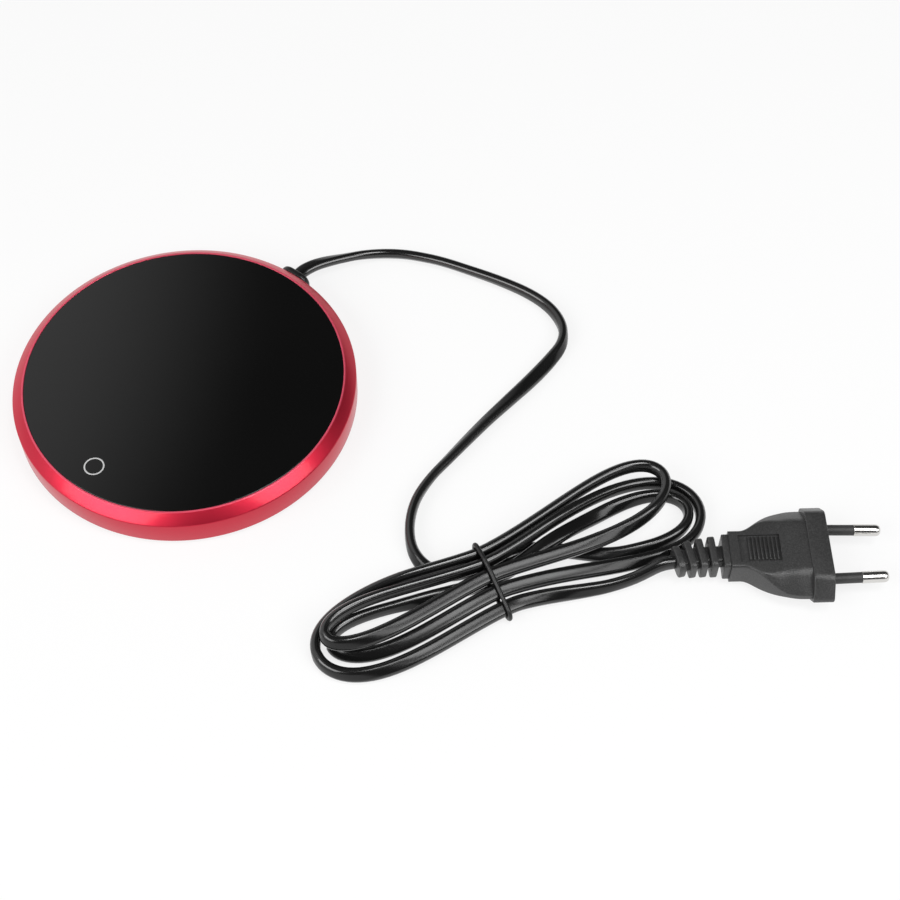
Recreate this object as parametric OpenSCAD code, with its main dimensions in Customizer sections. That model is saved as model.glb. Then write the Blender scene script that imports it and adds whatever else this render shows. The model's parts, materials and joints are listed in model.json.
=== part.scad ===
// Round mug-warming pad: glass plate in a metal rim, heater and touch control inside,
// flat mains cord tied in a hank, moulded two-pin plug

/* [Rim] */
// Outer diameter of the metal rim
rim_d = 120; // [118:1:124]
// Height of the rim, without the feet
rim_h = 12.1; // [12:0.1:13]
// Width of the sloped shoulder
shoulder_w = 3.7; // [3:0.1:4.2]
// Height of the sloped shoulder
shoulder_h = 3; // [2:0.1:3.4]
// Flat lip left round the glass
lip_w = 0.6; // [0.4:0.1:1]
// Thickness of the rim's wall
wall_t = 2.2; // [2:0.1:2.4]

/* [Glass] */
// Thickness of the glass plate
glass_t = 3.2; // [3:0.1:3.4]
// Distance of the touch ring's middle from the edge of the glass
touch_inset = 9.1; // [8:0.1:10]
// Outer diameter of the touch ring
touch_d = 7; // [6:0.5:9]
// Line width of the touch ring
touch_line = 0.5; // [0.4:0.1:1]

/* [Heater] */
// Room for the wires and the board between the rim's wall and the heater
heater_gap = 20.8; // [19:0.1:23]
// How far the heater stays inside the disc that spreads its heat
heater_inset = 3; // [2:0.5:6]

/* [Base] */
// How far the feet stand below the rim
foot_proud = 1.4; // [1.2:0.1:2]
// Diameter of one foot
foot_d = 10; // [9:0.5:11]
// Distance of the feet's middle from the rim's outer edge
foot_inset = 10; // [9.6:0.1:11]

/* [Cord] */
// Width of the flat cord
cord_w = 5.3; // [5:0.1:5.3]
// Thickness of the flat cord
cord_t = 3.3; // [3.1:0.1:3.3]
// Diameter of the tie round the hank
tie_d = 1.5; // [1.1:0.1:1.5]

/* [Plug] */
// Width of the plug's collar
collar_w = 35.3; // [34.6:0.1:36]
// Thickness of the plug's collar
collar_t = 13.7; // [13:0.1:14.4]
// Length of the plug's collar
collar_l = 7; // [6.5:0.5:8]
// Distance between the pins where they leave the plug
pin_gap = 18.6; // [18:0.1:19.2]
// Ribs of the bend relief
relief_ribs = 4; // [3:1:4]

/* [Hidden] */
$fn = 64;

// Rim and glass
rim_r = rim_d / 2;
rim_z = foot_proud;
top_z = rim_z + rim_h;
shoulder_z = top_z - shoulder_h;
cavity_r = rim_r - wall_t;
glass_gap = 0.1;
glass_r = rim_r - shoulder_w - lip_w - glass_gap;
glass_z = top_z - glass_t;
seal_t = 0.2;
ledge_z = glass_z - seal_t;
ledge_t = 1.6;
ledge_w = 3;
ledge_r = glass_r - ledge_w;
ledge_under = ledge_z - ledge_t;
touch_r = glass_r - touch_inset;
mark_depth = 0.15;

// Base cover, with the screws under the feet
base_z = rim_z + 0.2;
base_t = 1.6;
base_top = base_z + base_t;
base_gap = 0.3;
foot_r = rim_r - foot_inset;
foot_recess = 0.6;
foot_gap = 0.1;
boss_r = 4.2;
boss_top = base_top + 2;
screw_angles = [45, 135, 225, 315];
screw_r = 1.25;
screw_head_r = 2.3;
screw_head_t = 1.5;
screw_gap = 0.1;
screw_l = 4.2;
cover_bite = 0.5;
through = 10;
lug_r = 3.3;
lug_top = ledge_under + 0.5;

// Heater stack, hung from the glass downwards
spreader_r = cavity_r - heater_gap;
heater_r = spreader_r - heater_inset;
spreader_t = 1.2;
heater_t = 0.8;
pad_t = 1.5;
plate_t = 0.8;
spreader_z = glass_z - spreader_t;
heater_z = spreader_z - heater_t;
pad_z = heater_z - pad_t;
plate_z = pad_z - plate_t;
pad_r = spreader_r - 1;
plate_hole_r = 5;
sensor_r = 1.5;
sensor_gap = 0.5;
cutout_size = [8, 5, pad_t + plate_t];
cutout_x = spreader_r / 2 - 0.5;
slot_gap = 0.2;
post_r = 3;
post_ring = spreader_r - 9;
post_angles = [90, 210, 330];

// Control board at the front, under the touch ring
board_t = 1.2;
board_z = base_top + 1.4;
board_top = board_z + board_t;
board_gap = 1.8;
board_out = cavity_r - board_gap;
board_in = spreader_r + 2.5;
board_half = 32;
board_screw_r = 1;
board_screw_ring = board_out - 2.6;
board_screw_at = 27;
part_ring = ledge_r - 6.6;
spring_wire = 0.6;
spring_r = touch_d / 2 - 0.6;
spring_turns = 4;

// Cord entry at the back
gland_z = rim_z + 4.6;
gland_neck = 3.4;
gland_flange = 4.7;
gland_cap_r = 4;
gland_cap_x = 2.1;
gland_step = 0.7;
gland_out = 3;
gland_in = 2.2;
gland_gap = 0.1;
gland_face = rim_r + gland_out;
gland_seat = sqrt(cavity_r * cavity_r - gland_flange * gland_flange) - 0.3;
clamp_l = 5.2;
clamp_y = cavity_r - 9.6;
clamp_w = 18;
clamp_t = 1.5;
clamp_z = gland_z + cord_t / 2 + 0.1;
clamp_screw_x = 5.9;
stub_end = clamp_y - clamp_l / 2 - 0.6;
core_d = 1.8;
core_ring = (spreader_r + clamp_y - clamp_l / 2) / 2 + 0.2;
core_z = board_top + core_d / 2;
core_stop = -60;
core_bend = 1.2;
heater_lead_r = 0.35;

// Plug
plug_half = collar_t / 2;
body_l = 22;
body_step = 1.6;
neck_l = 6;
neck_w = 14;
neck_t = 10.4;
neck_edge = 0.6;
neck_ring_l = 2.2;
neck_ring_in = 1.4;
body_edge = 1.4;
relief_l = 15.6;
relief_bend = 13;
relief_turn_r = relief_l / (relief_bend * PI / 180);
rib_t = 2.3;
rib_step = 3.75;
spine_w = 6.2;
spine_t = 4.6;
pin_l = 19;
pin_sleeve_l = 10;
pin_r = 2;
pin_shank_r = 1.4;
sleeve_r = 1.8;
pin_lean = 1.66;
bridge_l = 9.4;
bridge_w = 23;
bridge_t = 8;

// Cord: lead, hank and tail; every point is x, y, z and the roll, where 0 stands on edge
route_y = gland_face - 63;
hank_at = [133, -2.2 + route_y];
hank_turn = 61.5;
hank_axis = [cos(hank_turn), sin(hank_turn), 0];
relief_end = [177.2, 38.8 + route_y];
tail_turn = 50;
tail_axis = [cos(tail_turn), sin(tail_turn), 0];
plug_turn = tail_turn - relief_bend;
cord_spine = (cord_w - cord_t) / 2;
loop_rings = 16;
lead_points = [
    [0.3, 66.5, 6, -86],
    [1.8, 71, 5.7, -76],
    [4.3, 75.8, 5, -62],
    [7.2, 80.4, 4.2, -48],
    [11.6, 86.6, 3.2, -36],
    [17.2, 92, 2.65, -30],
    [23.5, 96.2, 2.6, -30],
    [30, 99.2, 2.6, -30],
    [38, 102, 2.6, -30],
    [48.5, 104.4, 2.6, -26],
    [60, 106.6, 2.65, -20],
    [71, 107.8, 2.7, -12],
    [80, 107.3, 2.7, -4],
    [87, 105, 2.7, 0],
    [92.4, 101, 2.7, 0],
    [95.6, 95, 2.7, 0],
    [96.2, 87, 2.7, 0],
    [95.6, 76, 2.7, 0],
    [94.2, 64, 2.7, 0],
    [92.9, 53, 2.7, 0],
    [92, 42, 2.7, 0],
    [91.3, 31, 2.7, 0],
    [90.8, 21, 2.7, 0],
    [92, 11, 2.7, 0],
    [96, 2, 2.7, 0],
    [102, -5, 2.7, 10],
    [108.5, -8.2, 2.6, 40],
    [114.6, -7.6, 2.2, 70],
    [120.2, -3.6, 2.3, 88]
];
// Last run of the lead, under the hank: along it, across it, height and roll
lead_under = [
    [0, 9.1, 3.4, 90],
    [5, 9.3, 3.2, 90],
    [10, 9.7, 2.5, 90],
    [15, 9.4, 1.85, 90],
    [20, 7.8, 1.75, 90],
    [25, 5, 1.75, 90],
    [30, 1.8, 1.75, 90],
    [35, -1.7, 2, 86]
];
tail_points = [
    [147.6, 3.8, 3.4, 62],
    [152.4, 9, 3.2, 45],
    [158, 14.8, 3, 25],
    [163.6, 20.8, 3.2, 8],
    [169, 27.6, 4.4, 0]
];
// Place of each strand at the tie: across the hank, height, and lean from upright
strands = [
    [1.7, 2.3, 70],
    [2.9, 3.4, 90],
    [-3.1, 5.9, 70],
    [7.2, 8.1, 0],
    [2.4, 7.9, 70],
    [11.4, 8.1, 0],
    [-8.7, 4, 70]
];
// Each end loop: reach, half width, swing, resting height, and the shares of the reach,
// out and back, over which it keeps its height at the tie
end_loops = [
    [73, 9, -2.5, 2.7, 0.1, 0.2],
    [56, 5.3, 4.2, 2.7, 0.2, 0.1],
    [77, 11, -2, 2.7, 0.2, 0.3],
    [57.5, 5, 0.2, 8.7, 0.3, 0.2],
    [70, 7.4, 4.3, 8.7, 0.4, 0.45],
    [61.7, 6.5, 1.1, 2.7, 0.35, 0.1]
];
// Where the lead joins the first loop, and how that loop rises on its way back over the lead
join_share = 0.19;
rise_h = 2.4;
rise_at = 25;
rise_l = 22;

// Helpers
function unit(v) = v / norm(v);
function ease(x) = let(k = max(0, min(1, x))) k * k * (3 - 2 * k);
function xyz(p) = [p[0], p[1], p[2]];

// Corner b between a and c, cut back by d and turned in n steps
function soft(a, b, c, d, n) =
    let(p = b + unit(a - b) * d, q = b + unit(c - b) * d)
    [for (i = [0:n]) let(t = i / n) (1 - t) * (1 - t) * p + 2 * t * (1 - t) * b + t * t * q];

// Outline of x, y and cut, with every corner softened by its own cut
function softened(o, n = 4) =
    let(m = len(o), at = [for (p = o) [p[0], p[1]]])
    [for (i = [0:m - 1])
        each o[i][2] > 0 ? soft(at[(i + m - 1) % m], at[i], at[(i + 1) % m], o[i][2], n) : [at[i]]];

function box_outline(w, h, cut) =
    [[w / 2, -h / 2, cut], [w / 2, h / 2, cut], [-w / 2, h / 2, cut], [-w / 2, -h / 2, cut]];

// Ring of a swept outline: the outline's x runs sideways and its y upwards, both rolled
function sweep_ring(p, t, roll, outline) =
    let(s = unit(cross([0, 0, 1], t)), u = cross(t, s))
    let(w = u * cos(roll) + s * sin(roll), n = s * cos(roll) - u * sin(roll))
    [for (q = outline) p + q[0] * n + q[1] * w];

function way(path, i) =
    unit(xyz(path[min(i + 1, len(path) - 1)]) - xyz(path[max(i - 1, 0)]));

// Closed solid through rings of points, all with the same count, capped or joined end to end
module skin(rings, joined = false) {
    n = len(rings);
    m = len(rings[0]);
    sides = [for (i = [0:joined ? n - 1 : n - 2]) for (j = [0:m - 1])
        let(k = (j + 1) % m, next = (i + 1) % n * m, a = i * m + j, b = i * m + k)
        each [[a, next + j, next + k], [a, next + k, b]]];
    caps = joined ? [] : [[for (j = [0:m - 1]) j], [for (j = [m - 1:-1:0]) (n - 1) * m + j]];
    polyhedron(points = [for (r = rings) each r], faces = concat(sides, caps));
}

// Tube along a path of x, y, z and roll, with its end directions given
module sweep(path, outline, first, last) {
    n = len(path);
    dirs = [for (i = [0:n - 1]) i == 0 ? first : i == n - 1 ? last : way(path, i)];
    skin([for (i = [0:n - 1]) sweep_ring(xyz(path[i]), dirs[i], path[i][3], outline)]);
}

function round_outline(r, m) = [for (i = [0:m - 1]) r * [cos(360 * i / m), sin(360 * i / m)]];

// Flat cord: two half rounds joined by straight sides
cord_outline = [for (i = [0:7])
    let(a = 22.5 + 45 * i)
    [cord_t / 2 * cos(a), cord_t / 2 * sin(a) + sign(sin(a)) * cord_spine]];

// Two half rounds joined by straight sides
module oval_2d(half, r) {
    square([2 * half, 2 * r], center = true);
    for (x = [-1, 1]) translate([x * half, 0]) circle(r, $fn = 32);
}

module flat_cord_2d(extra) oval_2d(cord_spine, cord_t / 2 + extra);

module at_screws() {
    for (a = screw_angles) rotate(a) translate([foot_r, 0, 0]) children();
}

module at_board(a, r = part_ring) {
    rotate(a - 90) translate([r, 0, 0]) children();
}

module pan_screw(shank_r, shank_l, head_r, head_t) {
    rotate_extrude($fn = 32)
        polygon(softened([[0, 0, 0], [shank_r, 0, 0], [shank_r, shank_l, 0], [head_r, shank_l, 0],
            [head_r, shank_l + head_t, head_t / 2], [0, shank_l + head_t, 0]]));
}

// Metal rim with a ledge for the glass, lugs for the screws and a hole for the gland
module rim_ring() color([0.8, 0.13, 0.19]) {
    outline = [
        [cavity_r, rim_z, 0.2],
        [rim_r, rim_z, 0.5],
        [rim_r, shoulder_z, 0.45],
        [rim_r - shoulder_w, top_z, 0.25],
        [glass_r + glass_gap, top_z, 0.1],
        [glass_r + glass_gap, ledge_z, 0],
        [ledge_r, ledge_z, 0.2],
        [ledge_r, ledge_under, 0.2],
        [cavity_r, ledge_under, 0]
    ];
    difference() {
        union() {
            rotate_extrude($fn = 128) polygon(softened(outline));
            at_screws() {
                translate([0, 0, boss_top]) cylinder(r = lug_r, h = lug_top - boss_top);
                translate([0, -lug_r, boss_top])
                    cube([cavity_r + 0.6 - foot_r, 2 * lug_r, lug_top - boss_top]);
            }
        }
        at_screws() translate([0, 0, boss_top - 1])
            cylinder(r = screw_r + 0.05, h = lug_top - boss_top + 0.6);
        translate([0, gland_seat - 0.1, gland_z]) rotate([-90, 0, 0])
            cylinder(r = gland_neck + gland_gap, h = wall_t + 2);
    }
}

// Black glass, with a fine groove for the printed touch ring
module glass_plate() color([0.05, 0.05, 0.055]) difference() {
    rotate_extrude($fn = 128)
        polygon(softened([[0, glass_z, 0], [glass_r, glass_z, 0.3], [glass_r, top_z, 0.3], [0, top_z, 0]]));
    translate([0, -touch_r, top_z - mark_depth]) difference() {
        cylinder(d = touch_d, h = 1);
        translate([0, 0, -1]) cylinder(d = touch_d - 2 * touch_line, h = 3);
    }
}

module touch_mark() color([0.8, 0.8, 0.8])
    translate([0, -touch_r, top_z - mark_depth]) difference() {
        cylinder(d = touch_d, h = mark_depth);
        translate([0, 0, -1]) cylinder(d = touch_d - 2 * touch_line, h = 3);
    }

module glass_seal() color([0.3, 0.3, 0.3])
    rotate_extrude($fn = 128)
        translate([ledge_r + 0.3, ledge_z]) square([ledge_w - 0.5, seal_t]);

// Heater stack
module heat_spreader() color([0.75, 0.76, 0.78])
    rotate_extrude($fn = 96)
        polygon(softened([[0, spreader_z, 0], [spreader_r, spreader_z, 0.3],
            [spreader_r, glass_z, 0.2], [0, glass_z, 0]]));

module heater_disc() color([0.7, 0.6, 0.42])
    translate([0, 0, heater_z]) difference() {
        cylinder(r = heater_r, h = heater_t, $fn = 96);
        translate([0, 0, -1]) cylinder(r = sensor_r + sensor_gap, h = heater_t + 2, $fn = 32);
    }

module stack_cuts() {
    translate([0, 0, plate_z - 1]) cylinder(r = sensor_r + sensor_gap, h = pad_t + plate_t + 2, $fn = 32);
    translate([cutout_x, 0, plate_z + cutout_size[2] / 2])
        cube(cutout_size + [2 * slot_gap, 2 * slot_gap, 2], center = true);
}

module insulation_pad() color([0.88, 0.87, 0.82]) difference() {
    translate([0, 0, pad_z]) cylinder(r = pad_r, h = pad_t, $fn = 96);
    stack_cuts();
}

module pressure_plate() color([0.62, 0.63, 0.65]) difference() {
    translate([0, 0, plate_z]) cylinder(r = spreader_r, h = plate_t, $fn = 96);
    stack_cuts();
    for (a = post_angles) rotate(a + 60) translate([post_ring, 0, plate_z - 1])
        cylinder(r = plate_hole_r, h = plate_t + 2, $fn = 48);
}

module thermal_cutout() color([0.2, 0.2, 0.22])
    translate([cutout_x, 0, plate_z])
        linear_extrude(cutout_size[2])
            polygon(softened(box_outline(cutout_size[0], cutout_size[1], 0.8)));

module temperature_sensor() color([0.1, 0.25, 0.15])
    rotate_extrude($fn = 32)
        polygon(softened([[0, plate_z + 0.4, 0], [sensor_r, plate_z + 0.4, 0.3],
            [sensor_r, spreader_z, 0.3], [0, spreader_z, 0]]));

// Control board and the parts on it
module control_board() color([0.08, 0.3, 0.16]) difference() {
    rotate(-90 - board_half) rotate_extrude(angle = 2 * board_half, $fn = 128)
        translate([board_in, board_z]) square([board_out - board_in, board_t]);
    for (a = [-1, 1]) at_board(a * board_screw_at, board_screw_ring)
        translate([0, 0, board_z - 1]) cylinder(r = board_screw_r + 0.2, h = board_t + 2, $fn = 32);
}

module film_capacitor() color([0.75, 0.62, 0.2])
    at_board(18) translate([0, 0, board_top])
        linear_extrude(4) polygon(softened(box_outline(6, 13, 0.6)));

module heater_switch() color([0.12, 0.12, 0.13])
    at_board(-24) translate([0, 0, board_top]) {
        linear_extrude(2.3) polygon(softened(box_outline(6, 6.5, 0.3)));
        translate([2.5, -2.7, 0]) cube([2, 5.4, 0.6]);
    }

module touch_chip() color([0.1, 0.1, 0.11])
    at_board(-12) translate([0, 0, board_top]) {
        translate([-2, -2.5, 0.2]) cube([4, 5, 1.4]);
        for (s = [-1, 1]) for (i = [0:3])
            translate([s * 2.4 - 0.6, i * 1.27 - 2.1, 0]) cube([1.2, 0.4, 0.7]);
    }

// Contact spring from the board up to the underside of the glass
module touch_spring() color([0.78, 0.68, 0.4]) {
    rise = glass_z - board_top - spring_wire;
    steps = 16 * spring_turns;
    path = [for (i = [0:steps])
        let(a = 360 * spring_turns * i / steps, k = ease(2 * i / steps - 0.5))
        [spring_r * cos(a), spring_r * sin(a) - touch_r,
            board_top + spring_wire / 2 + rise * (0.1 * i / steps + 0.9 * k), 0]];
    sweep(path, round_outline(spring_wire / 2, 6), [0, 1, 0], [0, 1, 0]);
}

module status_led() color([0.9, 0.9, 0.85])
    translate([-1, -touch_r - 0.7, board_top]) cube([2, 1.4, 0.9]);

module board_screws() color([0.7, 0.7, 0.72])
    for (a = [-1, 1]) at_board(a * board_screw_at, board_screw_ring)
        translate([0, 0, base_z + 0.6]) pan_screw(board_screw_r, board_top - base_z - 0.6, 1.8, 1.2);

module heater_leads() color([0.85, 0.83, 0.78])
    for (a = [-1, 1]) at_board(a * 6, 0) {
        z = heater_z + heater_t / 2;
        r = board_in + 1.8;
        path = [for (p = [[heater_r + 0.1, z], [spreader_r - 1, z], [spreader_r + 1.5, z], [r - 1.3, z - 0.2],
            [r - 0.3, z - 0.9], [r, z - 1.8], [r, board_top]]) [p[0], 0, p[1], 0]];
        dirs = [for (i = [0:len(path) - 1])
            i == 0 ? [1, 0, 0] : i == len(path) - 1 ? [0, 0, -1] : way(path, i)];
        skin([for (i = [0:len(path) - 1])
            [for (q = round_outline(heater_lead_r, 8))
                xyz(path[i]) + q[0] * [0, 1, 0] + q[1] * cross(dirs[i], [0, 1, 0])]]);
    }

// Base cover: bosses for the screws, posts for the heater and the board, saddle for the cord
module base_cover() color([0.09, 0.09, 0.1]) {
    r = cavity_r - base_gap;
    difference() {
        union() {
            rotate_extrude($fn = 128)
                polygon(softened([[0, base_z, 0], [r, base_z, 0.4], [r, base_top, 0.2], [0, base_top, 0]]));
            at_screws() translate([0, 0, base_top - cover_bite]) cylinder(r = boss_r, h = boss_top - base_top + 0.5);
            for (a = post_angles) rotate(a) translate([post_ring, 0, base_top - cover_bite])
                cylinder(r = post_r, h = plate_z - base_top + cover_bite, $fn = 32);
            translate([0, 0, base_top - cover_bite]) cylinder(r = sensor_r, h = plate_z - base_top + 0.9, $fn = 32);
            translate([cutout_x, 0, base_top - cover_bite]) cylinder(r = 2.5, h = plate_z - base_top + cover_bite, $fn = 32);
            for (a = [-1, 1]) at_board(a * board_screw_at, board_screw_ring)
                translate([0, 0, base_top - cover_bite]) cylinder(r = 2.4, h = board_z - base_top + cover_bite, $fn = 32);
            for (a = [60, 15, -30]) for (m = [0, 1]) mirror([m, 0, 0]) rotate(a)
                translate([core_ring, 0, base_top - cover_bite])
                    cylinder(r = 1.5, h = core_z - core_d / 2 - base_top + 0.45, $fn = 24);
            translate([-clamp_w / 2, clamp_y - clamp_l / 2, base_top - cover_bite])
                cube([clamp_w, clamp_l, clamp_z - base_top + cover_bite]);
        }
        at_screws() translate([0, 0, base_z - 1]) {
            cylinder(d = foot_d + 2 * foot_gap, h = foot_recess + 1);
            cylinder(r = screw_head_r + screw_gap, h = foot_recess + screw_head_t + 1 + screw_gap, $fn = 32);
            cylinder(r = screw_r + screw_gap, h = through, $fn = 32);
        }
        for (a = [-1, 1]) at_board(a * board_screw_at, board_screw_ring)
            translate([0, 0, base_z + 0.5]) cylinder(r = board_screw_r + 0.05, h = through, $fn = 32);
        translate([-cord_w / 2 - 0.2, clamp_y - clamp_l, gland_z - cord_t / 2 - 0.05])
            cube([cord_w + 0.4, 2 * clamp_l, through]);
        for (x = [-1, 1]) translate([x * clamp_screw_x, clamp_y, base_top + 0.8])
            cylinder(r = 1.05, h = through, $fn = 32);
        translate([-gland_flange - 0.3, gland_seat - gland_in - 0.2, gland_z - gland_neck - 0.2])
            cube([2 * gland_flange + 0.6, through, through]);
    }
}

module base_screws() color([0.7, 0.7, 0.72])
    at_screws() translate([0, 0, base_z + foot_recess + screw_head_t]) mirror([0, 0, 1])
        translate([0, 0, -screw_l]) pan_screw(screw_r, screw_l, screw_head_r, screw_head_t - screw_gap);

module rubber_feet() color([0.14, 0.14, 0.15])
    at_screws() rotate_extrude($fn = 48)
        polygon(softened([[0, 0, 0], [foot_d / 2 - 0.3, 0, 0.7], [foot_d / 2, base_z, 0.1],
            [foot_d / 2, base_z + foot_recess, 0.1], [0, base_z + foot_recess, 0]]));

// Cord entry: a round neck through the rim, held by a flange inside and a stepped oval cap outside
module cord_gland() color([0.06, 0.06, 0.065]) {
    cap_y = rim_r + 0.05;
    cap_l = gland_face - cap_y;
    difference() {
        translate([0, 0, gland_z]) rotate([-90, 0, 0]) rotate_extrude($fn = 64)
            polygon(softened([[0, gland_seat - gland_in, 0], [gland_flange, gland_seat - gland_in, 0.4],
                [gland_flange, gland_seat, 0.2], [gland_neck, gland_seat, 0], [gland_neck, cap_y + 0.4, 0],
                [0, cap_y + 0.4, 0]]));
        translate([0, 0, gland_z]) rotate([-90, 0, 0])
            linear_extrude(2 * rim_r) flat_cord_2d(0.1);
        translate([-rim_r, 0, ledge_under - 0.2]) cube([rim_d, gland_seat + 0.15, rim_h]);
        translate([-rim_r, 0, base_top + 0.2 - rim_h]) cube([rim_d, gland_seat + 0.15, rim_h]);
    }
    for (k = [0, 1]) translate([0, cap_y, gland_z]) rotate([-90, 0, 0])
        linear_extrude(cap_l - k * gland_step) difference() {
            oval_2d(gland_cap_x, gland_cap_r - (1 - k) * gland_step);
            flat_cord_2d(0.1);
        }
}

module cord_clamp() color([0.15, 0.15, 0.16])
    translate([0, clamp_y, clamp_z]) linear_extrude(clamp_t) difference() {
        polygon(softened(box_outline(clamp_w, clamp_l - 0.2, 1)));
        for (x = [-1, 1]) translate([x * clamp_screw_x, 0]) circle(1.15, $fn = 32);
    }

module clamp_screws() color([0.7, 0.7, 0.72])
    for (x = [-1, 1]) translate([x * clamp_screw_x, clamp_y, base_top + 1])
        pan_screw(1, clamp_z + clamp_t - base_top - 1, 1.9, 0.9);

module cord_stub() color([0.07, 0.07, 0.075])
    translate([0, gland_face, gland_z]) rotate([90, 0, 0])
        linear_extrude(gland_face - stub_end) flat_cord_2d(0);

module mains_cores() color([0.35, 0.2, 0.1])
    for (m = [0, 1]) mirror([m, 0, 0]) {
        x = core_d * 2 / 3;
        start = [[x, stub_end, gland_z, 0], [x, stub_end - core_bend, gland_z, 0],
            [x + 0.6, (stub_end + core_ring) / 2, gland_z + 0.2, 0],
            [x + 3, core_ring, gland_z + 0.5, 0]];
        turn = [for (a = [76:-12:core_stop]) [core_ring * cos(a), core_ring * sin(a), core_z, 0]];
        stop = [sin(core_stop), -cos(core_stop), 0];
        sweep(concat(start, turn), round_outline(core_d / 2, 8), [0, -1, 0], stop);
    }

// Cord outside the pad
function on_floor(u, v) = [hank_at[0], hank_at[1]] + u * [cos(hank_turn), sin(hank_turn)]
    + v * [-sin(hank_turn), cos(hank_turn)];

// Station on end loop i, with s from 0 at the tie to 1 back at the tie. A strand keeps its lean
// near the tie and stands upright on the loop
function station(i, s) =
    let(e = end_loops[i], side = i % 2 == 0 ? 1 : -1, out = s < 0.5, k = out ? i : i + 1)
    let(home = strands[k], hold = out ? e[4] : e[5], q = sin(180 * s), u = side * e[0] * q)
    let(mid = strands[i][0] + (strands[i + 1][0] - strands[i][0]) * ease(s))
    let(v = mid + e[2] * q * q - side * e[1] / 0.431 * pow(q, 1.5) * cos(180 * s))
    let(rise = i == 0 && !out ? rise_h * ease(1 - abs(u - rise_at) / rise_l) : 0)
    let(z = home[1] + (e[3] - home[1]) * ease((q - hold) / (0.97 - hold)) + rise)
    let(stand = i == 0 || k % 2 == 0 ? ease((abs(u) - 30) / 40) : ease((abs(u) - 6) / 30))
    let(roll = (out ? side : -side) * home[2] * (1 - stand), p = on_floor(u, v))
    [p[0], p[1], z, roll];

function hank_path(n) = concat(
    [for (i = [0:5]) for (k = [0:n - 1]) station(i, i == 0 ? join_share + (1 - join_share) * k / n : k / n)],
    [station(5, 1)]);

hank = hank_path(loop_rings);
hank_start = hank[0];
hank_end = hank[len(hank) - 1];

// Least gap of the hank to itself: both edges and the middle of each section, on fine stations
fine = hank_path(30);
fine_edges = [for (i = [1:len(fine) - 2])
    let(r = sweep_ring(xyz(fine[i]), way(fine, i), fine[i][3], [[0, -cord_spine], [0, 0], [0, cord_spine]])) r];
hank_gap = min([for (i = [0:len(fine_edges) - 1]) for (j = [i + 7:1:len(fine_edges) - 1])
    each norm(fine_edges[i][1] - fine_edges[j][1]) > 9 ? []
        : [for (a = fine_edges[i]) for (b = fine_edges[j]) norm(a - b) - cord_t]]);

function moved(points) = [for (p = points) p + [0, route_y, 0, 0]];

lead = concat(
    [[0, gland_face, gland_z, -90]],
    moved(lead_points),
    [for (p = lead_under) concat(on_floor(p[0], p[1]), [p[2], p[3]])],
    [hank_start]);

tail = concat(
    [hank_end, concat(xyz(hank_end) + cord_w * hank_axis - [0, 0, 0.4], [hank_end[3]])],
    moved(tail_points),
    [concat([relief_end[0], relief_end[1], plug_half] - cord_w * tail_axis, [0]),
        [relief_end[0], relief_end[1], plug_half, 0]]);

function run_length(path) =
    len(path) < 2 ? 0 : [for (i = [1:len(path) - 1]) norm(xyz(path[i]) - xyz(path[i - 1]))]
        * [for (i = [1:len(path) - 1]) 1];
echo(hank_least_gap = hank_gap);
echo(cord_length = run_length(lead) + run_length(fine) + run_length(tail));

module cord_lead() color([0.07, 0.07, 0.075]) sweep(lead, cord_outline, [0, 1, 0], way(hank, 0));

module cord_hank() color([0.07, 0.07, 0.075]) sweep(hank, cord_outline, way(hank, 0), hank_axis);

module cord_tail() color([0.07, 0.07, 0.075]) sweep(tail, cord_outline, hank_axis, tail_axis);

// Tie: a closed round band that hugs the strands, with turns round their outer edges
function strand_edge(k, side) =
    [strands[k][0], strands[k][1]] + side * cord_spine * [sin(strands[k][2]), cos(strands[k][2])];

module cord_tie() color([0.05, 0.05, 0.055]) {
    r = tie_d / 2;
    turn = cord_t / 2 + 0.25 + r;
    steps = 6;
    low = strands[1][1];
    at = [[strand_edge(6, -1)[0], low], [strands[5][0], low], strand_edge(5, 1),
        strand_edge(3, 1), strand_edge(4, 1), strand_edge(6, -1)];
    n = len(at);
    translate([hank_at[0], hank_at[1], 0]) rotate([90, 0, hank_turn + 90])
        skin([for (i = [0:n - 1]) for (k = [0:steps])
            let(run = at[(i + 1) % n] - at[i], before = at[i] - at[(i + n - 1) % n])
            let(b = atan2(before[1], before[0]), a = (atan2(run[1], run[0]) - b + 360) % 360)
            let(out = b - 90 + a * k / steps)
            [for (q = round_outline(r, 12))
                [at[i][0] + (turn + q[0]) * cos(out), at[i][1] + (turn + q[0]) * sin(out), -q[1]]]],
            joined = true);
}

// Plug: local x runs out along the pins from the collar's face, and z is up from its mid-plane
module at_plug() {
    back = collar_l + body_l + neck_l;
    swing = [-back - relief_turn_r * sin(relief_bend), -relief_turn_r * (1 - cos(relief_bend))];
    face = [relief_end[0], relief_end[1]]
        - [swing[0] * cos(plug_turn) - swing[1] * sin(plug_turn),
            swing[0] * sin(plug_turn) + swing[1] * cos(plug_turn)];
    translate([face[0], face[1], plug_half]) rotate(plug_turn) children();
}

function collar_outline(w, t, side) =
    let(b = w / 2, h = t / 2, a = b - (h - side) * 0.84)
    [[b, -side, 0.7], [b, side, 0.7], [a, h, 2], [-a, h, 2],
        [-b, side, 0.7], [-b, -side, 0.7], [-a, -h, 2], [a, -h, 2]];

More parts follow.
